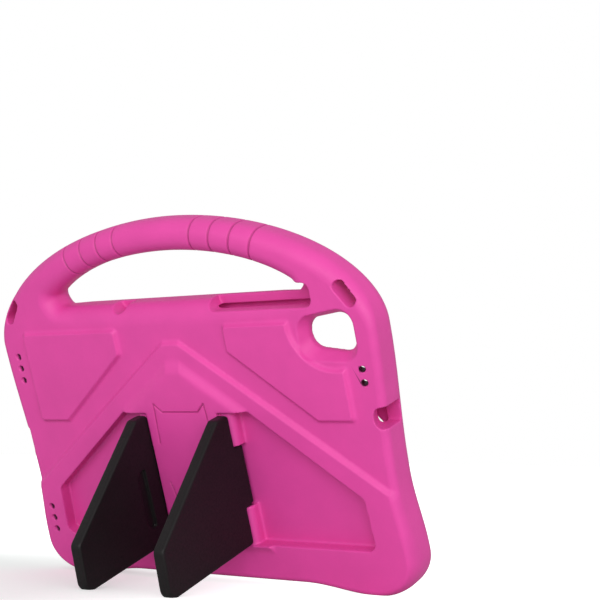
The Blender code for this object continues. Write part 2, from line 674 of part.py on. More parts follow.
def cut_window(body, parent):
    """The window in the lip with its sloped edge, and the notch for the front lens."""
    rim = LIP_THICKNESS - LIP_EDGE
    spread = WINDOW_BEVEL_WIDTH * (rim + TOOL_OVERRUN) / rim
    levels = ((spread, -TOOL_OVERRUN), (0.0, rim), (0.0, LIP_THICKNESS + TOOL_OVERRUN))
    loops = []
    for grow, z in levels:
        loop = rounded_rectangle(WINDOW_LENGTH / 2 + grow, WINDOW_WIDTH / 2 + grow,
                                 WINDOW_CORNER_RADIUS + grow, (0.0, POCKET_CENTRE_Y))
        loops.append([(x, y, z) for x, y in loop])
    combine(body, prism("window_cutter", loops, parent), "DIFFERENCE")
    loops = [lens_notch_loop(grow, z) for grow, z in levels]
    combine(body, prism("lens_notch_cutter", loops, parent), "DIFFERENCE")


def cut_trough(body, parent):
    """The trough over the tablet's side buttons and the small round notch beside it."""
    centre = ((TROUGH_LEFT_X + TROUGH_RIGHT_X) / 2, (TROUGH_BOTTOM_Y + TROUGH_TOP_Y) / 2)
    trough = rounded_rectangle((TROUGH_RIGHT_X - TROUGH_LEFT_X) / 2, (TROUGH_TOP_Y - TROUGH_BOTTOM_Y) / 2,
                               TROUGH_CORNER_RADIUS, centre)
    combine(body, flat_prism("trough_cutter", trough, CUT_REST_THICKNESS, TOOL_TOP_Z, parent), "DIFFERENCE")
    notch = rod("notch_cutter", NOTCH_RADIUS, (NOTCH_X, NOTCH_Y, CUT_REST_THICKNESS),
                (NOTCH_X, NOTCH_Y, TOOL_TOP_Z), parent, 24)
    combine(body, notch, "DIFFERENCE")


def cut_slots(body, parent):
    """The two slanted slots at the handle's roots."""
    slot = rounded_rectangle(SLOT_LENGTH / 2, SLOT_WIDTH / 2, SLOT_CORNER_RADIUS, steps=6)
    c, s = math.cos(SLOT_ANGLE), math.sin(SLOT_ANGLE)
    for side in (1, -1):
        name = "right" if side > 0 else "left"
        turned = [(side * (SLOT_X + x * c - y * s), SLOT_Y + x * s + y * c) for x, y in slot]
        cutter = flat_prism(name + "_slot_cutter", turned, -TOOL_MARGIN, TOOL_TOP_Z, parent)
        combine(body, cutter, "DIFFERENCE")


def cut_camera(body, parent):
    """The camera's window at the bottom of a sloped dish."""
    dish = [
        dish_loop(-TOOL_OVERRUN, TOOL_TOP_Z),
        dish_loop(0.0, BODY_THICKNESS),
        dish_loop(DISH_SLOPE_WIDTH, BODY_THICKNESS - DISH_DEPTH),
        dish_loop(DISH_SLOPE_WIDTH + CAMERA_DRAFT, POCKET_BACK_Z - TOOL_OVERRUN),
    ]
    combine(body, prism("camera_cutter", dish, parent), "DIFFERENCE")


def cut_ports(body, parent):
    """The openings for the headphone plug, the charging plug and the sound."""
    half = PORT_LENGTH / 2
    loops = []
    for z in (JACK_FLOOR_Z, TOOL_TOP_Z):
        inner = JACK_MOUTH_X - JACK_SLANT * (BODY_THICKNESS - z)
        jack = rounded_rectangle(half, JACK_WIDTH / 2, JACK_CORNER_RADIUS, (inner + half, JACK_Y))
        loops.append([(x, y, z) for x, y in jack])
    combine(body, prism("jack_cutter", loops, parent), "DIFFERENCE")
    charge = rounded_rectangle(half, CHARGE_WIDTH / 2, CHARGE_CORNER_RADIUS, (-CHARGE_INNER_X - half, CHARGE_Y))
    combine(body, flat_prism("charge_cutter", charge, CHARGE_FLOOR_Z, CHARGE_TOP_Z, parent), "DIFFERENCE")
    sound = rounded_rectangle(SOUND_WIDTH / 2, SOUND_HEIGHT / 2, SOUND_CORNER_RADIUS,
                              (SOUND_Y, (POCKET_FRONT_Z + POCKET_BACK_Z) / 2))
    cutter = along_x("sound_cutter", sound, -SOUND_INNER_X - PORT_LENGTH, -SOUND_INNER_X, parent)
    combine(body, cutter, "DIFFERENCE")


def cut_vents(body, parent):
    """Rows of small slanted holes: two groups on the left and the two microphone holes on the right."""
    slant = Vector((math.sin(VENT_SLANT), 0, math.cos(VENT_SLANT)))
    rows = [
        ("vent_upper", -1, VENT_X, VENT_UPPER_Y, 3),
        ("vent_lower", -1, VENT_LOWER_X, VENT_LOWER_Y, 3),
        ("mic", 1, VENT_X, MIC_Y, 2),
    ]
    for name, side, x, y, count in rows:
        for i in range(count):
            row_y = y + VENT_PITCH * (i - (count - 1) / 2)
            mouth = Vector((x, row_y, BODY_THICKNESS - VENT_MOUTH_DEPTH))
            start, end = mouth + slant * VENT_STAND_OUT, mouth - slant * VENT_DEPTH
            cutter = rod(name + "_" + str(i + 1) + "_cutter", VENT_RADIUS,
                         (side * start.x, start.y, start.z), (side * end.x, end.y, end.z), parent, 12)
            combine(body, cutter, "DIFFERENCE")


def cut_openings(body, parent):
    """All the openings, from the pocket to the small holes."""
    for cut in (cut_pocket, cut_window, cut_trough, cut_slots, cut_camera, cut_ports, cut_vents):
        cut(body, parent)


def panel_loop(outset, z):
    """Outline of a raised panel at a height, grown outward."""
    corners = [
        (PANEL_INNER_X - outset, PANEL_TOP_Y + outset),
        (PANEL_OUTER_X + outset, PANEL_TOP_Y + outset),
        (PANEL_OUTER_X + outset, PANEL_BOTTOM_Y - outset),
        (PANEL_BOTTOM_X - outset * PANEL_FOOT_PUSH, PANEL_BOTTOM_Y - outset),
        (PANEL_INNER_X - outset, PANEL_KNEE_Y - outset * PANEL_KNEE_PUSH),
    ]
    return [(x, y, z) for x, y in rounded_polygon(corners, [PANEL_CORNER_RADIUS] * 5, 2)]


def panel_arc_loop(outset, z, steps=40):
    """Circle round the camera dish at a height, that cuts the right panel back."""
    radius = PANEL_CUT_RADIUS - outset
    x, y = DISH_X + PANEL_CUT_RIGHT, DISH_Y + PANEL_CUT_UP
    turns = [math.tau * i / steps for i in range(steps)]
    return [(x + radius * math.sin(turn), y + radius * math.cos(turn), z) for turn in turns]


def add_panels(body, parent):
    """The two raised panels, the right one cut back in an arc round the camera dish."""
    low, high = BODY_THICKNESS - RAISE_HEIGHT, RAISED_Z
    slope = 2 * RAISE_BEVEL
    for side in (1, -1):
        name = "right" if side > 0 else "left"
        loops = [[(side * x, y, z) for x, y, z in panel_loop(*level)] for level in ((slope, low), (0.0, high))]
        panel = prism(name + "_panel", loops, parent)
        if side > 0:
            above = 2 * high - low
            rows = [panel_arc_loop(slope, low), panel_arc_loop(0.0, high), panel_arc_loop(-slope, above)]
            combine(panel, prism("panel_arc_cutter", rows, parent), "DIFFERENCE")
        combine(body, panel, "UNION")


def build_leg(side, parent, material):
    """One leg standing open, built round its hinge axis."""
    name = "right_leg" if side > 0 else "left_leg"
    hinge = bpy.data.objects.new(name + "_hinge", None)
    bpy.context.scene.collection.objects.link(hinge)
    hinge.parent = parent
    hinge.location = (side * HINGE_X, 0.0, HINGE_Z)
    half = LEG_THICKNESS / 2
    outline = leg_outline()
    loops = []
    for x, inset in ((-half, LEG_EDGE_BEVEL), (-half + LEG_EDGE_BEVEL, 0.0),
                     (half - LEG_EDGE_BEVEL, 0.0), (half, LEG_EDGE_BEVEL)):
        loops.append([(x, y, z) for z, y in inset_loop(outline, [1.0] * len(outline), inset)])
    leg = prism(name, loops, hinge, material)
    barrel = rod(name + "_barrel", half, (0, TONGUE_BOTTOM_Y + BARREL_INSET, 0),
                 (0, TONGUE_TOP_Y - BARREL_INSET, 0), hinge, 24)
    combine(leg, barrel, "UNION")
    bore = rod(name + "_bore_cutter", PIN_RADIUS + RUNNING_GAP, (0, LEG_BOTTOM_Y, 0), (0, LEG_TOP_Y, 0), hinge)
    combine(leg, bore, "DIFFERENCE")
    combine(leg, scoop_cutter(name, side, hinge), "DIFFERENCE")
    return leg


def scoop_cutter(name, side, parent):
    """Tool for the finger scoop in the face that looks out when the leg is folded."""
    corners = [
        (SCOOP_NEAR_REACH, SCOOP_TOP_Y),
        (SCOOP_FAR_REACH, SCOOP_TOP_Y),
        (SCOOP_FAR_REACH, SCOOP_BOTTOM_Y),
        (SCOOP_NEAR_REACH, SCOOP_BOTTOM_Y),
    ]
    radii = [SCOOP_NEAR_RADIUS, SCOOP_FAR_RADIUS, SCOOP_FAR_RADIUS, SCOOP_NEAR_RADIUS]
    scoop = rounded_polygon(corners, radii, 5)
    face = -side * LEG_THICKNESS / 2
    loops = [[(x, y, z) for z, y in scoop] for x in (face + side * SCOOP_DEPTH, face - side * TOOL_OVERRUN)]
    return prism(name + "_scoop_cutter", loops, parent)


def build_pin(side, parent, material):
    """Steel wire of one hinge, blind in both knuckles."""
    name = "right_hinge_pin" if side > 0 else "left_hinge_pin"
    pin = rod(name, PIN_RADIUS, (side * HINGE_X, LEG_BOTTOM_Y + PIN_INSET, HINGE_Z),
              (side * HINGE_X, LEG_TOP_Y - PIN_INSET, HINGE_Z), parent, 16)
    pin.data.materials.append(material)
    return pin


def stance_matrix(lean):
    """Case frame to world: Y leans back by the angle lean, the back faces -Y and the front +Y."""
    upright = Matrix(((1, 0, 0, 0), (0, 0, -1, 0), (0, 1, 0, 0), (0, 0, 0, 1)))
    return Matrix.Rotation(lean, 4, "X") @ upright


def world_points(obj):
    """Corners of the object's finished mesh in the world."""
    graph = bpy.context.evaluated_depsgraph_get()
    shape = obj.evaluated_get(graph)
    return [shape.matrix_world @ v.co for v in shape.data.vertices]


def standing_lean(body_points, leg_points):
    """Lean at which the body's lower corners and the feet meet the table together."""
    low, high = LEAN_LIMITS
    for _ in range(40):
        lean = (low + high) / 2
        body_low, feet_low = [
            min(p.y * math.cos(lean) - p.z * math.sin(lean) for p in points)
            for points in (body_points, leg_points)
        ]
        if feet_low > body_low:
            low = lean
        else:
            high = lean
    return lean


def set_on_table(stance, body, legs):
    """Leans the case onto its feet, moves it over the origin and trims small flats to stand on."""
    bpy.context.view_layer.update()
    leg_points = [p for leg in legs for p in world_points(leg)]
    lean = standing_lean(world_points(body), leg_points)
    stance.matrix_world = stance_matrix(lean)
    bpy.context.view_layer.update()
    points = [p for obj in [body] + legs for p in world_points(obj)]
    low = Vector([min(p[i] for p in points) for i in range(3)])
    high = Vector([max(p[i] for p in points) for i in range(3)])
    middle = (low + high) / 2
    stance.location = (-middle.x, -middle.y, -low.z - FLAT_TRIM)
    for obj in [body] + legs:
        bm = bmesh.new()
        bmesh.ops.create_cube(bm, size=TABLE_BLOCK)
        bmesh.ops.translate(bm, vec=(0, 0, -TABLE_BLOCK / 2), verts=bm.verts)
        combine(obj, add_object(obj.name + "_table_cutter", bm), "DIFFERENCE")


def finish_surface(obj):
    """Keeps the finished mesh in place of its modifiers, smooth across its round faces."""
    bpy.context.view_layer.update()
    shape = obj.evaluated_get(bpy.context.evaluated_depsgraph_get())
    mesh = bpy.data.meshes.new_from_object(shape)
    obj.modifiers.clear()
    obj.data = mesh
    mesh.shade_smooth()
    mesh.set_sharp_from_angle(angle=SMOOTH_ANGLE)


def main():
    """Builds the case, stands it on the table and bakes its solids."""
    clear_scene()
    foam = make_material("pink_foam", FOAM_PINK, 0.55, 0.0)
    plastic = make_material("black_plastic", LEG_BLACK, 0.45, 0.0)
    steel = make_material("pin_steel", PIN_STEEL, 0.35, 1.0)

    stance = bpy.data.objects.new("stance", None)
    bpy.context.scene.collection.objects.link(stance)

    body = build_body_blank(stance, foam)
    add_panels(body, stance)
    for side in (1, -1):
        cut_recess(body, side, stance)
    cut_openings(body, stance)
    legs = [build_leg(side, stance, plastic) for side in (1, -1)]
    pins = [build_pin(side, stance, steel) for side in (1, -1)]
    set_on_table(stance, body, legs)
    for obj in [body] + legs + pins:
        finish_surface(obj)


if __name__ == "__main__":
    main()
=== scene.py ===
"""Dressed model of a moulded foam tablet case with a carrying handle and two folding legs.

The shapes are drawn in the case's own frame, in metres: X to the right as seen from the back, Y up
towards the handle, Z out of the back, with Z = 0 on the flat front rim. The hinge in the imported
record says how that frame leans in the row frame.
"""

import json
import logging
import math
from dataclasses import dataclass, field
from enum import Enum
from typing import Callable, Dict, List, Optional, Sequence, Tuple

import bmesh
import bpy
import numpy as np
from mathutils import Matrix, Vector
from mathutils.bvhtree import BVHTree
from mathutils.geometry import delaunay_2d_cdt

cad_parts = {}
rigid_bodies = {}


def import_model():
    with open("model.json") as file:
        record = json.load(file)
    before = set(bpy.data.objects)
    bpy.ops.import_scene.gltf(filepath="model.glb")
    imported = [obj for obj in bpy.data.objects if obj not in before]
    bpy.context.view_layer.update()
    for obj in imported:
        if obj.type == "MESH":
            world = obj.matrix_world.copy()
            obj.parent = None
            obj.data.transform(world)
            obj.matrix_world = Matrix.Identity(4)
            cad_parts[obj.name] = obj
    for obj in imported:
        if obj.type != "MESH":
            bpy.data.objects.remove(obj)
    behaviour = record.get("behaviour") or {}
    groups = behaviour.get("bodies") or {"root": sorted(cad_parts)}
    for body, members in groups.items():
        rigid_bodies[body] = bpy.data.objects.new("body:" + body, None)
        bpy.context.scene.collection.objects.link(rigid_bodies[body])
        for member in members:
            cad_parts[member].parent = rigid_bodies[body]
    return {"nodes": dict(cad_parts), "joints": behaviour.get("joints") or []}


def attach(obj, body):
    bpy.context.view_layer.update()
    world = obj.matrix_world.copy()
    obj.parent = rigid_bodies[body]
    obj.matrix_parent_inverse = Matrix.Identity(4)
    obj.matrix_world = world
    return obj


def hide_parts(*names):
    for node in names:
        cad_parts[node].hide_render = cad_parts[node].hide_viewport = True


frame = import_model()

MM = 0.001
FACE_WEIGHT = 75
Point2 = Tuple[float, float]
Point3 = Tuple[float, float, float]
Loop2 = List[Point2]
Loop3 = List[Point3]

logging.basicConfig(level=logging.INFO, format="%(message)s")
log = logging.getLogger("tablet_case")


class Side(Enum):
    """The two sides of the case, as seen from its back."""

    LEFT = -1
    RIGHT = 1

    @property
    def word(self) -> str:
        """The side's name as the node names write it.

        Returns:
            The side in lower case.
        """
        return self.name.lower()


class Join(Enum):
    """How a tool changes the piece that it is applied to."""

    CUT = "DIFFERENCE"
    ADD = "UNION"


@dataclass(frozen=True)
class Stance:
    """Where the case's own frame stands in the row frame."""

    matrix: Matrix

    @classmethod
    def from_hinge(cls, joints: Sequence[dict], hinge_x: float, hinge_z: float) -> "Stance":
        """Reads the lean off the right leg's hinge.

        Args:
            joints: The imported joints.
            hinge_x: The hinge's X in the case frame.
            hinge_z: Its Z there.

        Returns:
            The stance that puts the hinge where the record has it.
        """
        hinge = next(j for j in joints if j["name"] == "right_leg_fold")
        lean = math.atan2(-hinge["axis"][1], hinge["axis"][2])
        upright = Matrix(((1, 0, 0, 0), (0, 0, -1, 0), (0, 1, 0, 0), (0, 0, 0, 1)))
        turn = Matrix.Rotation(lean, 4, "X") @ upright
        place = Vector(hinge["pos_m"]) - turn @ Vector((hinge_x, 0, hinge_z))
        return cls(Matrix.Translation(place) @ turn)


class Drawing:
    """Flat outlines and small sums that the pieces are drawn with."""

    @staticmethod
    def ease(start: float, end: float, share: float) -> float:
        """Eased change from start to end, level at both ends.

        Args:
            start: The value at share 0.
            end: The value at share 1.
            share: How far along, from 0 to 1.

        Returns:
            The value there.
        """
        return start + (end - start) * (1 - math.cos(math.pi * share)) / 2

    @staticmethod
    def ramp(value: float, width: float) -> float:
        """0 to 1 as value goes from 0 to width.

        Args:
            value: The value to be mapped.
            width: The value that gives 1.

        Returns:
            A share from 0 to 1.
        """
        return min(1.0, max(0.0, value / width + 1e-9))

    @staticmethod
    def corner(before: Point2, at: Point2, after: Point2, radius: float, steps: int) -> Loop2:
        """Arc that rounds one corner.

        Args:
            before: The point before the corner.
            at: The corner.
            after: The point after it.
            radius: Radius of the arc.
            steps: Number of its segments.

        Returns:
            The arc's points.
        """
        a = (Vector(before) - Vector(at)).normalized()
        b = (Vector(after) - Vector(at)).normalized()
        half = a.angle(b) / 2
        centre = Vector(at) + (a + b).normalized() * radius / math.sin(half)
        start = Vector(at) + a * radius / math.tan(half) - centre
        end = Vector(at) + b * radius / math.tan(half) - centre
        sweep = start.angle_signed(end)
        points = []
        for i in range(steps + 1):
            c, s = math.cos(-sweep * i / steps), math.sin(-sweep * i / steps)
            points.append((centre.x + start.x * c - start.y * s, centre.y + start.x * s + start.y * c))
        return points

    @staticmethod
    def polygon(corners: Sequence[Point2], radii: Sequence[float], steps: int = 8) -> Loop2:
        """Polygon with rounded corners.

        Args:
            corners: The sharp corners.
            radii: One radius for each, or 0 to leave it sharp.
            steps: Segments of each arc.

        Returns:
            The outline's points.
        """
        points: Loop2 = []
        for i, at in enumerate(corners):
            if radii[i] == 0:
                points.append(tuple(at))
            else:
                after = corners[(i + 1) % len(corners)]
                points += Drawing.corner(corners[i - 1], at, after, radii[i], steps)
        return points

    @staticmethod
    def rectangle(half_x: float, half_y: float, radius: float, centre: Point2 = (0.0, 0.0),
                  steps: int = 8) -> Loop2:
        """Rounded rectangle about a centre, clockwise.

        Args:
            half_x: Half its width.
            half_y: Half its height.
            radius: Radius of its corners.
            centre: Its middle.
            steps: Segments of each corner.

        Returns:
            The outline's points.
        """
        cx, cy = centre
        signs = ((1, 1), (1, -1), (-1, -1), (-1, 1))
        corners = [(cx + sx * half_x, cy + sy * half_y) for sx, sy in signs]
        return Drawing.polygon(corners, [radius] * 4, steps)

    @staticmethod
    def circle(centre: Point2, radius: float, steps: int) -> Loop2:
        """Circle about a centre, clockwise from its top.

        Args:
            centre: The circle's middle.
            radius: Its radius.
            steps: Number of its points.

        Returns:
            The circle's points.
        """
        turns = [math.tau * i / steps for i in range(steps)]
        return [(centre[0] + radius * math.sin(a), centre[1] + radius * math.cos(a)) for a in turns]

    @staticmethod
    def inset(loop: Loop2, widths: Sequence[float], share: float) -> Loop2:
        """Moves a clockwise loop inward.

        Args:
            loop: The loop.
            widths: One full width for each point.
            share: The part of that width to move by.

        Returns:
            The moved loop.
        """
        moved = []
        for i, (x, y) in enumerate(loop):
            along = (Vector(loop[(i + 1) % len(loop)]) - Vector(loop[i - 1])).normalized()
            moved.append((x + along.y * widths[i] * share, y - along.x * widths[i] * share))
        return moved

    @staticmethod
    def inside(points: np.ndarray, loop: Loop2) -> np.ndarray:
        """Which of the points lie inside the loop.

        Args:
            points: Points, one to a row.
            loop: A closed loop.

        Returns:
            One truth value for each point.
        """
        found = np.zeros(len(points), bool)
        x, y = points[:, 0], points[:, 1]
        for i, (ax, ay) in enumerate(loop):
            bx, by = loop[i - 1]
            if ay == by:
                continue
            crossing = (bx - ax) * (y - ay) / (by - ay) + ax
            found ^= ((ay > y) != (by > y)) & (x < crossing)
        return found

    @staticmethod
    def distance(point: Vector, loop: Loop2) -> float:
        """Shortest distance from a point to a closed loop.

        Args:
            point: The point.
            loop: The loop.

        Returns:
            The distance in metres.
        """
        a = np.array(loop[-1:] + loop[:-1])
        b = np.array(loop)
        along = b - a
        to = np.array(point[:2]) - a
        share = np.clip((to * along).sum(1) / (along ** 2).sum(1), 0, 1)
        return float(np.sqrt(((to - along * share[:, None]) ** 2).sum(1)).min())


class Shop:
    """Makes meshes, cuts and joins them, and finishes them as moulded pieces."""

    @staticmethod
    def piece(name: str, mesh_bm: bmesh.types.BMesh) -> bpy.types.Object:
        """Turns a bmesh into an object with its faces pointing out.

        Args:
            name: The object's name.
            mesh_bm: The mesh, which is used up.

        Returns:
            The object, linked to the scene.
        """
        bmesh.ops.recalc_face_normals(mesh_bm, faces=mesh_bm.faces)
        mesh = bpy.data.meshes.new(name)
        mesh_bm.to_mesh(mesh)
        mesh_bm.free()
        obj = bpy.data.objects.new(name, mesh)
        bpy.context.scene.collection.objects.link(obj)
        return obj

    @staticmethod
    def prism(name: str, loops: Sequence[Loop3]) -> bpy.types.Object:
        """Closed solid through loops that have the same count of points.

        Args:
            name: The object's name.
            loops: The loops, from one end to the other.

        Returns:
            The object.
        """
        bm = bmesh.new()
        rows = [[bm.verts.new(p) for p in loop] for loop in loops]
        for low, high in zip(rows, rows[1:]):
            for i in range(len(low)):
                j = (i + 1) % len(low)
                bm.faces.new((low[i], low[j], high[j], high[i]))
        bm.faces.new(rows[0])
        bm.faces.new(rows[-1])
        return Shop.piece(name, bm)

    @staticmethod
    def slab(name: str, loop: Loop2, low: float, high: float) -> bpy.types.Object:
        """Straight prism of a loop in X and Y between two heights.

        Args:
            name: The object's name.
            loop: The outline.
            low: Height of its lower end.
            high: Height of its upper end.

        Returns:
            The object.
        """
        return Shop.prism(name, [[(x, y, z) for x, y in loop] for z in (low, high)])

    @staticmethod
    def rod(name: str, radius: float, start: Point3, end: Point3, steps: int = 48) -> bpy.types.Object:
        """Cylinder between two points.

        Args:
            name: The object's name.
            radius: The cylinder's radius.
            start: One end of its axis.
            end: The other end.
            steps: Number of its sides.

        Returns:
            The object.
        """
        bm = bmesh.new()
        along = Vector(end) - Vector(start)
        bmesh.ops.create_cone(bm, cap_ends=True, segments=steps, radius1=radius, radius2=radius,
                              depth=along.length)
        turn = Vector((0, 0, 1)).rotation_difference(along).to_matrix().to_4x4()
        middle = (Vector(start) + Vector(end)) / 2
        bmesh.ops.transform(bm, matrix=Matrix.Translation(middle) @ turn, verts=bm.verts)
        return Shop.piece(name, bm)

    @staticmethod
    def apply(target: bpy.types.Object, tool: bpy.types.Object, how: Join) -> None:
        """Cuts the tool from the target, or joins it on.

        Args:
            target: The piece that changes.
            tool: The solid that is used up.
            how: Cut or add.
        """
        modifier = target.modifiers.new(tool.name, "BOOLEAN")
        modifier.operation = how.value
        modifier.object = tool
        modifier.solver = "MANIFOLD"
        Shop.bake(target)
        bpy.data.objects.remove(tool, do_unlink=True)

    @staticmethod
    def bake(obj: bpy.types.Object) -> None:
        """Puts the object's finished mesh in place of its modifiers.

        Args:
            obj: The object.
        """
        bpy.context.view_layer.update()
        shape = obj.evaluated_get(bpy.context.evaluated_depsgraph_get())
        mesh = bpy.data.meshes.new_from_object(shape)
        obj.modifiers.clear()
        old = obj.data
        obj.data = mesh
        bpy.data.meshes.remove(old)

    @staticmethod
    def mould(obj: bpy.types.Object, voxel: float, rounds: int) -> None:
        """Gives the piece an even mesh and the soft edges that a mould leaves.

        Args:
            obj: The piece.
            voxel: Size of the mesh's cells.
            rounds: How often the surface is smoothed.
        """
        remesh = obj.modifiers.new("even", "REMESH")
        remesh.mode = "VOXEL"
        remesh.voxel_size = voxel
        smooth = obj.modifiers.new("soft", "SMOOTH")
        smooth.factor = 0.5
        smooth.iterations = rounds
        Shop.bake(obj)

    @staticmethod
    def thin(obj: bpy.types.Object, triangles: int) -> None:
        """Lowers the mesh to about that many triangles, with its normals levelled by area.

        Args:
            obj: The piece.
            triangles: The count to come down to.
        """
        count = sum(len(p.vertices) - 2 for p in obj.data.polygons)
        if count > triangles:
            modifier = obj.modifiers.new("thin", "DECIMATE")
            modifier.ratio = triangles / count
            level = obj.modifiers.new("level", "WEIGHTED_NORMAL")
            level.weight = FACE_WEIGHT
            obj.data.shade_smooth()
            Shop.bake(obj)
        log.info("%s: %d triangles from %d", obj.name, len(obj.data.polygons), count)

    @staticmethod
    def set_down(obj: bpy.types.Object, matrix: Matrix, material: bpy.types.Material) -> None:
        """Moves the mesh into the row frame and dresses it.

        Args:
            obj: The piece, drawn in the case frame.
            matrix: The case frame in the row frame.
            material: Its finish.
        """
        obj.data.transform(matrix)
        obj.data.materials.clear()
        obj.data.materials.append(material)
        obj.data.shade_smooth()


class Tree:
    """Builds one Geometry Nodes tree with named inputs."""

    def __init__(self, name: str) -> None:
        """Starts a tree with a geometry input and output.

        Args:
            name: The node group's name.
        """
        self.group = bpy.data.node_groups.new(name, "GeometryNodeTree")
        self.group.interface.new_socket("Geometry", in_out="INPUT", socket_type="NodeSocketGeometry")
        self.group.interface.new_socket("Geometry", in_out="OUTPUT", socket_type="NodeSocketGeometry")
        self.ids: Dict[str, str] = {}

    def size(self, name: str, kind: str = "NodeSocketFloat") -> None:
        """Adds a named input.

        Args:
            name: The input's name.
            kind: Its socket type.
        """
        socket = self.group.interface.new_socket(name, in_out="INPUT", socket_type=kind)
        self.ids[name] = socket.identifier

    def start(self) -> None:
        """Adds the input and output nodes once all the inputs are named."""
        self.given = self.group.nodes.new("NodeGroupInput")
        self.result = self.group.nodes.new("NodeGroupOutput")

    def node(self, kind: str, settings: Optional[dict] = None, **values: object) -> bpy.types.Node:
        """Adds a node.

        Args:
            kind: The node's type.
            settings: Attributes to set on it.
            values: Values of its inputs, by their name with _ for a space.

        Returns:
            The node.
        """
        node = self.group.nodes.new(kind)
        for key, value in (settings or {}).items():
            setattr(node, key, value)
        for key, value in values.items():
            self.feed(value, node.inputs[key.replace("_", " ")])
        return node

    def feed(self, value: object, socket: bpy.types.NodeSocket) -> None:
        """Links a socket to the value, or sets the value on it.

        Args:
            value: A socket to link from, or a plain value.
            socket: The input that takes it.
        """
        if isinstance(value, bpy.types.NodeSocket):
            self.group.links.new(value, socket)
        else:
            socket.default_value = value

    def math(self, operation: str, a: object, b: object = 0.0) -> bpy.types.NodeSocket:
        """Result of a sum on two values.

        Args:
            operation: The sum's name.
            a: The first value.
            b: The second value.

        Returns:
            The socket that holds the result.
        """
        node = self.group.nodes.new("ShaderNodeMath")
        node.operation = operation
        self.feed(a, node.inputs[0])
        self.feed(b, node.inputs[1])
        return node.outputs[0]

    def finish(self, geometry: bpy.types.NodeSocket) -> None:
        """Ends the tree with Realize Instances and Set Material.

        Args:
            geometry: The geometry that the tree gives back.
        """
        real = self.node("GeometryNodeRealizeInstances", Geometry=geometry)
        dressed = self.node("GeometryNodeSetMaterial", Geometry=real.outputs[0],
                            Material=self.given.outputs["Material"])
        self.group.links.new(dressed.outputs[0], self.result.inputs[0])

    def run(self, obj: bpy.types.Object, values: Dict[str, object]) -> None:
        """Applies the tree to an object and keeps the plain mesh.

        Args:
            obj: The object whose mesh the tree changes or replaces.
            values: The inputs' values by name.
        """
        modifier = obj.modifiers.new(self.group.name, "NODES")
        modifier.node_group = self.group
        for name, value in values.items():
            modifier[self.ids[name]] = value
        Shop.bake(obj)


@dataclass(frozen=True)
class FoamFinish:
    """Matte moulded foam with a fine pebbled skin, with painted shade darkening its colour in the small
    holes and along the grooves.
    """

    name: str = "moulded_foam"
    colour: Tuple[float, float, float] = (0.725, 0.0615, 0.345)
    roughness: float = 0.52
    specular: float = 0.36
    grain_per_m: float = 2600.0
    grain_depth: float = 0.05 * MM
    grain_strength: float = 0.35
    mottle_per_m: float = 60.0
    mottle: float = 0.035
    sheen_drift: float = 0.07
    # Painted shade: the colour goes darker where these mesh marks are set, in the small holes and the
    # pressed grooves, standing in for shadow there.
    hollow: str = "hollow"
    painted_hole_shade_share: float = 0.12
    groove: str = "groove"
    groove_shade_share: float = 0.62

    def material(self) -> bpy.types.Material:
        """Builds the foam's node material.

        Returns:
            The material.
        """
        kit = Paint(self.name, self.roughness)
        kit.vary_colour(self.colour, self.mottle_per_m, self.mottle)
        # Painted shade: darkens the colour inside the small holes and along the grooves.
        kit.paint_shade(self.hollow, self.painted_hole_shade_share)
        kit.paint_shade(self.groove, self.groove_shade_share)
        kit.vary_roughness(self.roughness, self.sheen_drift, self.grain_per_m / 3)
        kit.grain(self.grain_per_m, self.grain_depth, self.grain_strength)
        kit.shader.inputs["Specular IOR Level"].default_value = self.specular
        return kit.material


@dataclass(frozen=True)
class LegFinish:
    """Black moulded plastic with a spark-eroded skin."""

    name: str = "leg_plastic"
    colour: Tuple[float, float, float] = (0.0070, 0.0058, 0.0062)
    roughness: float = 0.5
    specular: float = 0.25
    grain_per_m: float = 3800.0
    grain_depth: float = 0.03 * MM
    grain_strength: float = 0.30
    mottle_per_m: float = 90.0
    mottle: float = 0.10
    sheen_drift: float = 0.10

    def material(self) -> bpy.types.Material:
        """Builds the plastic's node material.

        Returns:
            The material.
        """
        kit = Paint(self.name, self.roughness)
        kit.vary_colour(self.colour, self.mottle_per_m, self.mottle)
        kit.vary_roughness(self.roughness, self.sheen_drift, self.grain_per_m / 4)
        kit.grain(self.grain_per_m, self.grain_depth, self.grain_strength)
        kit.shader.inputs["Specular IOR Level"].default_value = self.specular
        return kit.material


@dataclass(frozen=True)
class WireFinish:
    """Drawn steel wire of the hinge pins."""

    name: str = "pin_wire"
    colour: Tuple[float, float, float] = (0.56, 0.56, 0.57)
    roughness: float = 0.32
    grain_per_m: float = 5000.0
    grain_depth: float = 0.01 * MM
    grain_strength: float = 0.2
    mottle_per_m: float = 400.0
    mottle: float = 0.12
    sheen_per_m: float = 1500.0
    sheen_drift: float = 0.12

    def material(self) -> bpy.types.Material:
        """Builds the steel's node material.

        Returns:
            The material.
        """
        kit = Paint(self.name, self.roughness)
        kit.shader.inputs["Metallic"].default_value = 1.0
        kit.vary_colour(self.colour, self.mottle_per_m, self.mottle)
        kit.vary_roughness(self.roughness, self.sheen_drift, self.sheen_per_m)
        kit.grain(self.grain_per_m, self.grain_depth, self.grain_strength)
        return kit.material


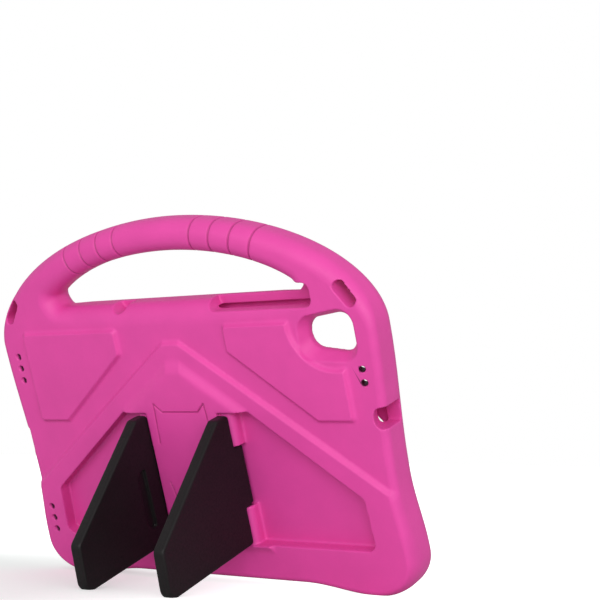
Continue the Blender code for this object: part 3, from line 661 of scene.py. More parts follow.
class Paint:
    """Puts together the nodes that the finishes share, all read from Object coordinates except the
    painted shade, which reads mesh marks.
    """

    noise_low: float = 0.3
    noise_high: float = 0.7

    def __init__(self, name: str, roughness: float) -> None:
        """Starts a material with a Principled shader.

        Args:
            name: The material's name.
            roughness: Its middle roughness.
        """
        self.material = bpy.data.materials.new(name)
        self.material.use_nodes = True
        self.nodes = self.material.node_tree.nodes
        self.links = self.material.node_tree.links
        self.shader = self.nodes["Principled BSDF"]
        self.shader.inputs["Roughness"].default_value = roughness
        self.place = self.nodes.new("ShaderNodeTexCoord").outputs["Object"]

    def noise(self, scale: float, detail: float) -> bpy.types.NodeSocket:
        """Noise of a scale, in cells to the metre.

        Args:
            scale: Cells to the metre.
            detail: Number of finer layers.

        Returns:
            The noise, from 0 to 1.
        """
        node = self.nodes.new("ShaderNodeTexNoise")
        node.inputs["Scale"].default_value = scale
        node.inputs["Detail"].default_value = detail
        self.links.new(self.place, node.inputs["Vector"])
        return node.outputs["Fac"]

    def spread(self, value: bpy.types.NodeSocket, low: float, high: float) -> bpy.types.NodeSocket:
        """Maps noise onto a range of values.

        Args:
            value: The noise.
            low: The value where the noise is low.
            high: The value where it is high.

        Returns:
            The mapped value.
        """
        node = self.nodes.new("ShaderNodeMapRange")
        node.inputs["From Min"].default_value = self.noise_low
        node.inputs["From Max"].default_value = self.noise_high
        node.inputs["To Min"].default_value = low
        node.inputs["To Max"].default_value = high
        self.links.new(value, node.inputs["Value"])
        return node.outputs["Result"]

    def vary_colour(self, colour: Tuple[float, float, float], scale: float, amount: float) -> None:
        """Lets the colour drift softly over the surface.

        Args:
            colour: The middle colour.
            scale: Cells to the metre.
            amount: How far it goes lighter and darker, as a share.
        """
        mix = self.nodes.new("ShaderNodeMix")
        mix.data_type = "RGBA"
        self.links.new(self.spread(self.noise(scale, 3.0), 0.0, 1.0), mix.inputs["Factor"])
        mix.inputs["A"].default_value = tuple(c * (1 - amount) for c in colour) + (1.0,)
        mix.inputs["B"].default_value = tuple(c * (1 + amount) for c in colour) + (1.0,)
        self.links.new(mix.outputs["Result"], self.shader.inputs["Base Color"])
        self.material.diffuse_color = tuple(colour) + (1.0,)

    def paint_shade(self, attribute: str, share: float) -> None:
        """Paints shade into the colour: it goes dark where the attribute is 1, standing in for shadow.

        Args:
            attribute: The mesh attribute's name.
            share: How much of the colour is left there.
        """
        mask = self.nodes.new("ShaderNodeAttribute")
        mask.attribute_name = attribute
        mix = self.nodes.new("ShaderNodeMix")
        mix.data_type = "RGBA"
        mix.blend_type = "MULTIPLY"
        mix.inputs["B"].default_value = (share, share, share, 1.0)
        self.links.new(mask.outputs["Fac"], mix.inputs["Factor"])
        socket = self.shader.inputs["Base Color"]
        self.links.new(socket.links[0].from_socket, mix.inputs["A"])
        self.links.new(mix.outputs["Result"], socket)

    def vary_roughness(self, middle: float, amount: float, scale: float) -> None:
        """Lets the roughness drift about its middle value.

        Args:
            middle: The middle roughness.
            amount: How far it goes up and down.
            scale: Cells to the metre.
        """
        rough = self.spread(self.noise(scale, 2.0), middle - amount, middle + amount)
        self.links.new(rough, self.shader.inputs["Roughness"])

    def grain(self, scale: float, depth: float, strength: float) -> None:
        """Adds the skin's fine relief.

        Args:
            scale: Cells to the metre.
            depth: Height of the relief in metres.
            strength: The bump's strength.
        """
        bump = self.nodes.new("ShaderNodeBump")
        bump.inputs["Strength"].default_value = strength
        bump.inputs["Distance"].default_value = depth
        self.links.new(self.noise(scale, 2.0), bump.inputs["Height"])
        self.links.new(bump.outputs["Normal"], self.shader.inputs["Normal"])


@dataclass
class CaseBody:
    """The one moulded foam piece: body, handle, raised back, knuckles and openings."""

    # Outline
    thickness: float = 20.0 * MM
    shoulder_x: float = 111.8 * MM
    shoulder_y: float = 36.0 * MM
    handle_top: float = 91.2 * MM
    fullness: float = 1.95
    waist_x: float = 108.2 * MM
    waist_y: float = -34.0 * MM
    corner_x: float = 111.2 * MM
    corner_y: float = -70.5 * MM
    corner_flat_x: float = 88.0 * MM
    corner_bottom: float = -89.5 * MM
    bottom: float = -85.5 * MM
    bottom_blend_x: float = 50.0 * MM

    # Handle opening
    grip_top: float = 76.0 * MM
    grip_floor: float = 52.2 * MM
    grip_x: float = 71.8 * MM
    grip_side: float = 5.4 * MM
    grip_tip: float = 1.8 * MM
    grip_radii: Point2 = (2.4 * MM, 3.4 * MM)

    # Rounded edges
    edge_height: float = 8.0 * MM
    front_edge: float = 7.5 * MM
    front_edge_bottom: float = 4.5 * MM
    handle_edge: float = 7.5 * MM
    handle_blend: float = 25.0 * MM
    side_edge: float = 3.4 * MM
    side_edge_height: float = 3.6 * MM
    side_blend: float = 14.0 * MM
    grip_edge: float = 7.0 * MM
    grip_floor_back: float = 10.5 * MM
    grip_floor_front: float = 3.0 * MM
    grip_blend: float = 6.0 * MM

    # Raised back
    raise_height: float = 2.0 * MM
    raise_bevel: float = 1.5 * MM
    slope: float = 0.71
    chevron_top: float = 34.5 * MM
    chevron_half: float = 5.0 * MM
    chevron_end: float = -38.5 * MM
    chevron_inner_end: float = -44.5 * MM
    block_height: float = 2.2 * MM
    block_bevel: float = 6.0 * MM
    block_steps: int = 6
    block_top: float = 26.0 * MM
    block_peak_half: float = 4.0 * MM
    block_foot: float = -70.0 * MM
    block_half: float = 38.0 * MM
    block_side_bevel: float = 3.6 * MM
    panel_corners: Tuple[Point2, ...] = (
        (33.4 * MM, 40.0 * MM), (93.5 * MM, 40.0 * MM), (93.5 * MM, -4.1 * MM),
        (76.0 * MM, -4.1 * MM), (33.4 * MM, 28.8 * MM))
    panel_cut_radius: float = 22.9 * MM
    panel_cut_at: Point2 = (90.5 * MM, 40.5 * MM)
    panel_pushes: Tuple[Point2, ...] = ((-1, 1), (1, 1), (1, -1), (-0.35, -1), (-1, -0.5))
    panel_corner: float = 1.5 * MM
    panel_corner_steps: int = 5
    panel_cut_steps: int = 120
    panel_cut_rise: float = 1.5

    # Pocket and window
    pocket_half: Point2 = (102.0 * MM, 63.5 * MM)
    pocket_radius: float = 7.0 * MM
    pocket_y: float = -15.6 * MM
    pocket_front: float = 3.9 * MM
    pocket_back: float = 11.6 * MM
    window_half: Point2 = (95.0 * MM, 57.8 * MM)
    window_radius: float = 4.0 * MM
    window_bevel: float = 5.0 * MM
    lip_edge: float = 1.0 * MM
    lens_notch: Point3 = (15.0 * MM, 9.0 * MM, 2.7 * MM)
    lens_spread: Point3 = (0.6, 0.4, 0.5)
    lens_root: float = 3.0 * MM

    # Openings
    past: float = 2.0 * MM
    over: float = 5.0 * MM
    round_end: float = 0.05 * MM
    cut_floor: float = 8.0 * MM
    trough: Tuple[float, float, float, float] = (24.5 * MM, 83.0 * MM, 46.9 * MM, 58.0 * MM)
    trough_radius: float = 4.0 * MM
    notch: Point3 = (-30.5 * MM, 53.0 * MM, 5.0 * MM)
    slot_at: Point2 = (100.0 * MM, 52.0 * MM)
    slot_half: Point2 = (6.75 * MM, 2.7 * MM)
    slot_turn: float = math.radians(-54)
    dish_at: Point2 = (87.3 * MM, 34.0 * MM)
    dish_half: Point2 = (15.0 * MM, 12.85 * MM)
    dish_depth: float = 5.4 * MM
    dish_slope: float = 3.0 * MM
    dish_low: Point2 = (0.85, 0.65)
    dish_high: float = 0.66
    dish_radii: Point2 = (7.5 * MM, 8.0 * MM)
    dish_draft: float = 0.3 * MM
    dish_flare: float = 2.0 * MM
    dish_lift: float = 0.1 * MM
    dish_tighten: float = 0.4
    dish_least: float = 3.0 * MM
    dish_steps: int = 12
    jack_at: Point2 = (103.8 * MM, -4.1 * MM)
    jack_half: Point2 = (10.0 * MM, 4.9 * MM)
    jack_radius: float = 4.0 * MM
    jack_floor: float = 6.0 * MM
    jack_slant: float = 0.36
    charge_x: float = 101.0 * MM
    charge_half: Point2 = (10.0 * MM, 7.0 * MM)
    charge_radius: float = 3.0 * MM
    charge_heights: Point2 = (5.0 * MM, 17.0 * MM)
    charge_dent: Point2 = (1.5 * MM, 6.5 * MM)
    sound_y: float = -35.0 * MM
    sound_half: Point2 = (6.0 * MM, 2.2 * MM)
    sound_flat: float = 0.2 * MM
    sound_reach: Point2 = (99.0 * MM, 122.0 * MM)
    vent_radius: float = 1.5 * MM
    vent_pitch: float = 6.2 * MM
    vent_slant: float = math.radians(28)
    vent_length: float = 15.0 * MM
    vent_middle: float = 2.5 * MM
    # Painted shade inside the small holes: margin round each hole, depth where the dark starts, and
    # length of its fade.
    vent_shade_rim: float = 0.45 * MM
    vent_shade_depth: float = 2.6 * MM
    vent_shade_fade: float = 0.7 * MM
    vent_sides: int = 40
    hole_rows: Tuple[Tuple[Side, float, float, int], ...] = (
        (Side.LEFT, 101.0 * MM, 22.6 * MM, 3), (Side.LEFT, 100.3 * MM, -57.6 * MM, 3),
        (Side.RIGHT, 101.5 * MM, 15.4 * MM, 2))

    # Mesh
    arch_steps: int = 72
    side_steps: int = 24
    corner_steps: int = 22
    blend_steps: int = 16
    bottom_steps: int = 5
    grip_steps: int = 64
    grip_floor_steps: int = 12
    grip_tip_steps: int = 8
    edge_steps: int = 10
    voxel: float = 0.5 * MM
    smooth_rounds: int = 4
    triangles: int = 190000

    def outline(self) -> Loop2:
        """Outer outline, clockwise from the handle's top.

        Returns:
            The outline's points.
        """
        half: Loop2 = []
        rise, power = self.handle_top - self.shoulder_y, 2 / self.fullness
        for i in range(self.arch_steps):
            turn = math.radians(90) * i / self.arch_steps
            half.append((self.shoulder_x * math.sin(turn) ** power,
                         self.shoulder_y + rise * math.cos(turn) ** power))
        for i in range(self.side_steps):
            y = self.shoulder_y + (self.waist_y - self.shoulder_y) * i / self.side_steps
            half.append((Drawing.ease(self.shoulder_x, self.waist_x, i / self.side_steps), y))
        for i in range(self.blend_steps):
            y = self.waist_y + (self.corner_y - self.waist_y) * i / self.blend_steps
            half.append((Drawing.ease(self.waist_x, self.corner_x, i / self.blend_steps), y))
        across, down = self.corner_x - self.corner_flat_x, self.corner_y - self.corner_bottom
        for i in range(self.corner_steps):
            turn = math.radians(90) * i / self.corner_steps
            half.append((self.corner_flat_x + across * math.cos(turn),
                         self.corner_y - down * math.sin(turn)))
        for i in range(self.blend_steps):
            x = self.corner_flat_x + (self.bottom_blend_x - self.corner_flat_x) * i / self.blend_steps
            half.append((x, Drawing.ease(self.corner_bottom, self.bottom, i / self.blend_steps)))
        half += [(self.bottom_blend_x * k / self.bottom_steps, self.bottom)
                 for k in range(self.bottom_steps, -1, -1)]
        return half + [(-x, y) for x, y in reversed(half[1:-1])]

    def grip(self) -> Loop2:
        """Outline of the handle opening, anticlockwise, so that an inset moves out into the body.

        Returns:
            The outline's points.
        """
        rise = self.grip_top - self.shoulder_y
        foot = (self.grip_floor + self.grip_side - self.shoulder_y) / rise
        tip, low = self.grip_x + self.grip_tip, self.grip_x - self.grip_tip / 2
        reach = tip / math.sqrt(1 - foot * foot)
        last = math.asin((tip - 2 * self.grip_radii[0]) / reach)
        arch = []
        for i in range(self.grip_steps + 1):
            turn = last * (2 * i / self.grip_steps - 1)
            arch.append((reach * math.sin(turn), self.shoulder_y + rise * math.cos(turn)))
        at_tip, at_foot = (tip, self.grip_floor + self.grip_side), (low, self.grip_floor)
        at_middle, steps = (0.0, self.grip_floor), self.grip_tip_steps
        right = Drawing.corner(arch[-1], at_tip, at_foot, self.grip_radii[0], steps)
        right += Drawing.corner(at_tip, at_foot, at_middle, self.grip_radii[1], steps)
        steps = self.grip_floor_steps
        floor = [(low * k / steps, self.grip_floor) for k in range(steps - 2, 1 - steps, -1)]
        left = [(-x, y) for x, y in reversed(right)]
        return list(reversed(arch + right + floor + left))

    def outer_width(self, y: float, side: float, low: float) -> float:
        """Width of the rounded outer edge at a height.

        Args:
            y: The height.
            side: The width along the sides.
            low: The width along the bottom.

        Returns:
            The width there, eased up to the handle's own.
        """
        below = Drawing.ramp(self.corner_y - y, self.corner_y - self.corner_bottom)
        above = Drawing.ramp(y - self.shoulder_y, self.handle_blend)
        width = side + (low - side) * below
        return width + (self.handle_edge - width) * above

    def side_share(self, x: float, y: float) -> float:
        """Height of the back's rounded edge at a place, as a share of the handle's own.

        Args:
            x: Place across the case.
            y: Place up the case.

        Returns:
            The share, from 0 to 1.
        """
        if abs(x) < self.grip_x + self.grip_edge and y > 0:
            return 1.0
        share = Drawing.ramp(y - self.corner_y, self.side_blend)
        share *= 1 - Drawing.ramp(y - self.shoulder_y, self.handle_blend)
        return 1 - (1 - self.side_edge_height / self.edge_height) * share

    def grip_width(self, x: float, y: float, floor_width: float) -> float:
        """Width of the rounded edge round the handle opening.

        Args:
            x: Place across the case.
            y: Place up the case.
            floor_width: The width along the opening's floor.

        Returns:
            The width there.
        """
        floor = Drawing.ramp(self.grip_floor + self.grip_blend - y, self.grip_blend)
        floor *= Drawing.ramp(self.grip_x - abs(x), 2 * self.grip_blend)
        return self.grip_edge + (floor_width - self.grip_edge) * floor

    def rings(self, loop: Loop2, widths: Sequence[float]) -> List[Tuple[Loop2, float, float]]:
        """Inset loops of a rounded edge, each with its drop and its share of the raised shapes.

        Args:
            loop: The outline or the opening.
            widths: Width of the rounded edge at each point.

        Returns:
            Loop, drop and share of each ring, from the wall inward.
        """
        made = []
        for i in range(self.edge_steps + 1):
            turn = math.radians(90) * i / self.edge_steps
            made.append((Drawing.inset(loop, widths, 1 - math.cos(turn)),
                         self.edge_height * (1 - math.sin(turn)), math.sin(turn)))
        return made

    def raised(self, x: float, y: float) -> float:
        """Height of the chevron and the middle block above the flat back.

        Args:
            x: Place across the case.
            y: Place up the case.

        Returns:
            The height in metres.
        """
        x = abs(x)
        lean = math.hypot(1, self.slope)
        line = self.chevron_top - self.slope * max(0.0, x - self.chevron_half)
        chevron = Drawing.ramp((line - y) / lean, self.raise_bevel)
        line = self.block_top - self.slope * max(0.0, x - self.block_peak_half)
        block = Drawing.ramp(min((line - y) / lean, y - self.block_foot), self.block_bevel)
        block = min(block, Drawing.ramp(self.block_half - x, self.block_side_bevel))
        return self.raise_height * chevron + Drawing.ease(0.0, self.block_height, block)

    def chevron_line(self, drop: float, end_y: float, outer: Loop2) -> Loop2:
        """Line over the chevron's peak, from outline to outline.

        Args:
            drop: How far below the ridge it runs.
            end_y: The height at which it meets the outline.
            outer: The outline.

        Returns:
            The line's points.
        """
        peak = self.chevron_top - math.hypot(1, self.slope) * drop
        rim = [p for p in outer if p[0] > 0]
        end = min(rim, key=lambda p: math.hypot(p[0] - self.waist_x, p[1] - end_y))
        right = [(self.chevron_half, peak), end]
        return [(-x, y) for x, y in reversed(right)] + right

    def block_line(self, drop: float) -> Loop2:
        """Closed line round the middle block, moved inward from its foot towards its flat top.

        Args:
            drop: How far inward it runs.

        Returns:
            The line's points.
        """
        peak = self.block_top - math.hypot(1, self.slope) * drop
        foot = self.block_foot + drop
        side = self.block_half - self.block_side_bevel * drop / self.block_bevel
        shoulder = peak - self.slope * (side - self.block_peak_half)
        right = [(self.block_peak_half, peak), (side, shoulder), (side, foot)]
        return right + [(-x, y) for x, y in reversed(right)] + right[:1]

    def skin(self, outer: list, grip: list, lines: Sequence[Loop2],
             height: Callable[[float, float, float, float], float]) -> Tuple[List[Vector], List[tuple]]:
        """Triangles over the body between its outline and the handle opening.

        Args:
            outer: Rings of the outer edge, from the wall inward.
            grip: Rings of the opening's edge, from its wall outward.
            lines: Lines at which the surface bends.
            height: Height of the surface at x, y, with the ring's drop and share.

        Returns:
            The points and the triangles.
        """
        points, edges, ring_of = [], [], []
        for rings in (outer, grip):
            for number, (loop, _, _) in enumerate(rings):
                first = len(points)
                points += [Vector(p) for p in loop]
                ring_of += [number] * len(loop)
                edges += [(first + i, first + (i + 1) % len(loop)) for i in range(len(loop))]
        for line in lines:
            first = len(points)
            points += [Vector(p) for p in line]
            ring_of += [None] * len(line)
            edges += [(first + i, first + i + 1) for i in range(len(line) - 1)]
        found, _, faces, origins, _, _ = delaunay_2d_cdt(points, edges, [], 0, 1e-8)
        solid = []
        for point, origin in zip(found, origins):
            numbers = [ring_of[i] for i in origin if ring_of[i] is not None]
            number = numbers[0] if numbers else None
            if number is None:
                for k in range(len(outer)):
                    near = min(Drawing.distance(point, outer[k][0]), Drawing.distance(point, grip[k][0]))
                    if near < 1e-6:
                        number = k
                        break
            drop, share = outer[-1 if number is None else number][1:]
            solid.append(Vector((point.x, point.y, height(point.x, point.y, drop, share))))
        flat = np.array([p[:2] for p in found])
        middles = flat[np.array([f[:3] for f in faces])].mean(1)
        kept = Drawing.inside(middles, outer[0][0]) & ~Drawing.inside(middles, grip[0][0])
        return solid, [tuple(f) for f, keep in zip(faces, kept) if keep]

    def blank(self) -> bpy.types.Object:
        """The body without its openings: back skin, front skin and the walls between them.

        Returns:
            The body as one closed mesh.
        """
        outer, grip = self.outline(), self.grip()
        back_outer = [self.outer_width(y, self.side_edge, self.front_edge_bottom) for _, y in outer]
        front_outer = [self.outer_width(y, self.front_edge, self.front_edge_bottom) for _, y in outer]
        back_grip = [self.grip_width(x, y, self.grip_floor_back) for x, y in grip]
        front_grip = [self.grip_width(x, y, self.grip_floor_front) for x, y in grip]
        lines = [self.chevron_line(0.0, self.chevron_end, outer),
                 self.chevron_line(self.raise_bevel, self.chevron_inner_end, outer)]
        for k in range(self.block_steps + 1):
            lines.append(self.block_line(self.block_bevel * k / self.block_steps))
        back = self.skin(self.rings(outer, back_outer), self.rings(grip, back_grip), lines,
                         lambda x, y, drop, share: (self.thickness - drop * self.side_share(x, y)
                                                    + share * self.raised(x, y)))
        front = self.skin(self.rings(outer, front_outer), self.rings(grip, front_grip), [],
                          lambda x, y, drop, share: drop)
        bm = bmesh.new()
        for (points, faces), flip in ((back, False), (front, True)):
            verts = [bm.verts.new(p) for p in points]
            for face in faces:
                bm.faces.new([verts[i] for i in (reversed(face) if flip else face)])
        bmesh.ops.delete(bm, geom=[v for v in bm.verts if not v.link_faces], context="VERTS")
        rims: Dict[Tuple[int, int], List[bmesh.types.BMVert]] = {}
        open_edges = [e for e in bm.edges if e.is_boundary]
        for vert in {v for e in open_edges for v in e.verts}:
            rims.setdefault((round(vert.co.x * 1e7), round(vert.co.y * 1e7)), []).append(vert)
        over = {}
        for pair in rims.values():
            high, low = sorted(pair, key=lambda v: -v.co.z)
            over[high] = low
        for edge in open_edges:
            a, b = edge.verts
            if a in over and b in over:
                bm.faces.new((a, b, over[b], over[a]))
        return Shop.piece("case_foam", bm)

    def panel(self, side: Side) -> bpy.types.Object:
        """One raised panel, the right one cut back in an arc round the camera dish.

        Args:
            side: The panel's side.

        Returns:
            The panel, to be joined on.
        """
        grow = self.raise_bevel
        root, top = self.thickness - self.raise_height, self.thickness + self.raise_height
        loops = []
        for out, z in ((grow * 2, root), (0.0, top)):
            pushed = zip(self.panel_corners, self.panel_pushes)
            corners = [(x + out * px, y + out * py) for (x, y), (px, py) in pushed]
            loop = Drawing.polygon(corners, [self.panel_corner] * len(corners), self.panel_corner_steps)
            loops.append([(side.value * x, y, z) for x, y in loop])
        panel = Shop.prism(side.word + "_panel", loops)
        if side is Side.RIGHT:
            rows = []
            rise = self.panel_cut_rise
            for shrink, z in ((grow * 2, root), (0.0, top),
                              (-grow * rise, top + rise * self.raise_height)):
                radius = self.panel_cut_radius - shrink
                arc = Drawing.circle(self.panel_cut_at, radius, self.panel_cut_steps)
                rows.append([(x, y, z) for x, y in arc])
            Shop.apply(panel, Shop.prism("panel_arc", rows), Join.CUT)
        return panel

    def dish(self, inset: float, z: float) -> Loop3:
        """Rounded triangle round the camera hole, narrow towards the middle of the case.

        Args:
            inset: How far inside the dish's rim the loop lies.
            z: Its height.

        Returns:
            The loop's points.
        """
        a, b = self.dish_half[0] - inset, self.dish_half[1] - inset
        x, y = self.dish_at
        share = Drawing.ramp(inset, self.dish_slope)
        low = self.dish_low[0] + (self.dish_low[1] - self.dish_low[0]) * share
        corners = [(x + a, y + b), (x + a, y - b), (x - a, y - b * low), (x - a, y + b * self.dish_high)]
        wide, narrow = (max(radius - inset * self.dish_tighten, self.dish_least)
                        for radius in self.dish_radii)
        loop = Drawing.polygon(corners, [wide, wide, narrow, narrow], self.dish_steps)
        return [(px, py, z) for px, py in loop]

    def open_front(self, body: bpy.types.Object) -> None:
        """Cuts the tablet's pocket, the window with its bevel and the lens notch.

        Args:
            body: The foam body.
        """
        pocket = Drawing.rectangle(*self.pocket_half, self.pocket_radius, (0.0, self.pocket_y))
        Shop.apply(body, Shop.slab("pocket", pocket, self.pocket_front, self.pocket_back), Join.CUT)
        rim = self.pocket_front - self.lip_edge
        spread = self.window_bevel * (rim + self.past) / rim
        levels = ((spread, -self.past), (0.0, rim), (0.0, self.pocket_front + self.past))
        loops = []
        for grow, z in levels:
            loop = Drawing.rectangle(self.window_half[0] + grow, self.window_half[1] + grow,
                                     self.window_radius + grow, (0.0, self.pocket_y))
            loops.append([(x, y, z) for x, y in loop])
        Shop.apply(body, Shop.prism("window", loops), Join.CUT)
        base, top, deep = self.lens_notch
        edge = self.window_half[0]
        at_base, at_tip, along = self.lens_spread
        loops = []
        for grow, z in levels:
            half, tip = base / 2 + grow * at_base, top / 2 + grow * at_tip
            right = [(edge - self.lens_root, half), (edge + grow * along, half),
                     (edge + deep + grow, tip)]
            whole = right + [(x, -y) for x, y in reversed(right)]
            loops.append([(x, self.pocket_y + y, z) for x, y in whole])
        Shop.apply(body, Shop.prism("lens_notch", loops), Join.CUT)

    def open_edges(self, body: bpy.types.Object) -> None:
        """Cuts the button trough, the notch, the strap slots and the port openings.

        Args:
            body: The foam body.
        """
        above = self.thickness + self.raise_height + self.block_height + self.over
        left, right, low, high = self.trough
        loop = Drawing.rectangle((right - left) / 2, (high - low) / 2, self.trough_radius,
                                 ((left + right) / 2, (low + high) / 2))
        Shop.apply(body, Shop.slab("trough", loop, self.cut_floor, above), Join.CUT)
        x, y, radius = self.notch
        Shop.apply(body, Shop.rod("notch", radius, (x, y, self.cut_floor), (x, y, above)), Join.CUT)
        for side in Side:
            slot = Drawing.rectangle(*self.slot_half, self.slot_half[1] - self.round_end)
            c, s = math.cos(self.slot_turn), math.sin(self.slot_turn)
            x, y = self.slot_at
            turned = [(side.value * (x + px * c - py * s), y + px * s + py * c) for px, py in slot]
            Shop.apply(body, Shop.slab(side.word + "_slot", turned, -self.over, above), Join.CUT)
        dish = [self.dish(-self.dish_flare, above), self.dish(0.0, self.thickness + self.dish_lift),
                self.dish(self.dish_slope, self.thickness - self.dish_depth),
                self.dish(self.dish_slope + self.dish_draft, self.pocket_back - self.past)]
        Shop.apply(body, Shop.prism("camera_dish", dish), Join.CUT)
        rows = []
        for z in (self.jack_floor, above):
            inner = self.jack_at[0] - self.jack_slant * (self.thickness - z)
            jack = Drawing.rectangle(*self.jack_half, self.jack_radius,
                                     (inner + self.jack_half[0], self.jack_at[1]))
            rows.append([(px, py, z) for px, py in jack])
        Shop.apply(body, Shop.prism("jack", rows), Join.CUT)
        charge = Drawing.rectangle(*self.charge_half, self.charge_radius,
                                   (-self.charge_x - self.charge_half[0], self.pocket_y))
        Shop.apply(body, Shop.slab("charge", charge, *self.charge_heights), Join.CUT)
        deep, half = self.charge_dent
        dent = Drawing.rectangle(deep * 2, half, deep, (-self.waist_x - deep, self.pocket_y))
        Shop.apply(body, Shop.slab("charge_dent", dent, self.charge_heights[0], above), Join.CUT)
        sound = Drawing.rectangle(*self.sound_half, self.sound_half[1] - self.sound_flat,
                                  (self.sound_y, (self.pocket_front + self.pocket_back) / 2))
        rows = [[(-x, py, pz) for py, pz in sound] for x in self.sound_reach]
        Shop.apply(body, Shop.prism("sound", rows), Join.CUT)

    def vent_height(self, x: float, y: float) -> float:
        """Height of a small hole's middle, from the surface that it opens in.

        Args:
            x: Place across the case.
            y: Place up the case.

        Returns:
            The height in metres.
        """
        return self.thickness + self.raised(x, y) - self.vent_middle

    def perforate(self, body: bpy.types.Object, material: bpy.types.Material) -> None:
        """Cuts the rows of small round holes, each row drawn by the hole tree.

        Args:
            body: The foam body.
            material: The foam's finish.
        """
        tree = self.hole_tree()
        for side, x, y, count in self.hole_rows:
            cutter = Shop.piece("hole_row", bmesh.new())
            tree.run(cutter, {
                "Count": count, "Pitch": self.vent_pitch, "Radius": self.vent_radius,
                "Length": self.vent_length, "Slant": side.value * self.vent_slant,
                "Centre": (side.value * x, y, self.vent_height(x, y)), "Material": material})
            Shop.apply(body, cutter, Join.CUT)

    def paint_hole_shade(self, body: bpy.types.Object, name: str) -> None:
        """Marks the walls of the small holes for painted shade, so that their colour goes dark deeper
        in, standing in for shadow.

        Args:
            body: The foam body.
            name: The mark's name.
        """
        co = np.empty(len(body.data.vertices) * 3)
        body.data.vertices.foreach_get("co", co)
        co = co.reshape(-1, 3)
        marks = np.zeros(len(co))
        for side, x, y, count in self.hole_rows:
            axis = np.array((side.value * math.sin(self.vent_slant), 0, math.cos(self.vent_slant)))
            for i in range(count):
                centre = np.array((side.value * x, y + self.vent_pitch * (i - (count - 1) / 2),
                                   self.vent_height(x, y)))
                along = (co - centre) @ axis
                out = np.linalg.norm(co - centre - along[:, None] * axis, axis=1)
                inside = out < self.vent_radius + self.vent_shade_rim
                inside &= np.abs(along) < self.vent_length / 2
                deep = np.clip((self.vent_shade_depth - along) / self.vent_shade_fade, 0, 1)
                marks = np.maximum(marks, inside * deep)
        layer = body.data.attributes.new(name, "FLOAT", "POINT")
        layer.data.foreach_set("value", marks)

    def hole_tree(self) -> Tree:
        """Tree that draws a row of slanted round cutters.

        Returns:
            The tree.
        """
        tree = Tree("hole_row")
        for name in ("Pitch", "Radius", "Length", "Slant"):
            tree.size(name)
        tree.size("Count", "NodeSocketInt")
        tree.size("Centre", "NodeSocketVector")
        tree.size("Material", "NodeSocketMaterial")
        tree.start()
        given = tree.given.outputs
        hole = tree.node("GeometryNodeMeshCylinder", Vertices=self.vent_sides, Radius=given["Radius"],
                         Depth=given["Length"])
        step = tree.node("ShaderNodeCombineXYZ", Y=given["Pitch"])
        line = tree.node("GeometryNodeMeshLine", Count=given["Count"], Offset=step.outputs[0])
        turn = tree.node("ShaderNodeCombineXYZ", Y=given["Slant"])
        spin = tree.node("FunctionNodeEulerToRotation", Euler=turn.outputs[0])
        row = tree.node("GeometryNodeInstanceOnPoints", Points=line.outputs[0],
                        Instance=hole.outputs["Mesh"], Rotation=spin.outputs[0])
        gaps = tree.math("SUBTRACT", given["Count"], 1.0)
        back = tree.math("MULTIPLY", tree.math("MULTIPLY", gaps, given["Pitch"]), -0.5)
        middle = tree.node("ShaderNodeCombineXYZ", Y=back)
        place = tree.node("ShaderNodeVectorMath", {"operation": "ADD"})
        tree.feed(middle.outputs[0], place.inputs[0])
        tree.feed(given["Centre"], place.inputs[1])
        moved = tree.node("GeometryNodeTransform", Geometry=row.outputs[0], Translation=place.outputs[0])
        tree.finish(moved.outputs[0])
        return tree


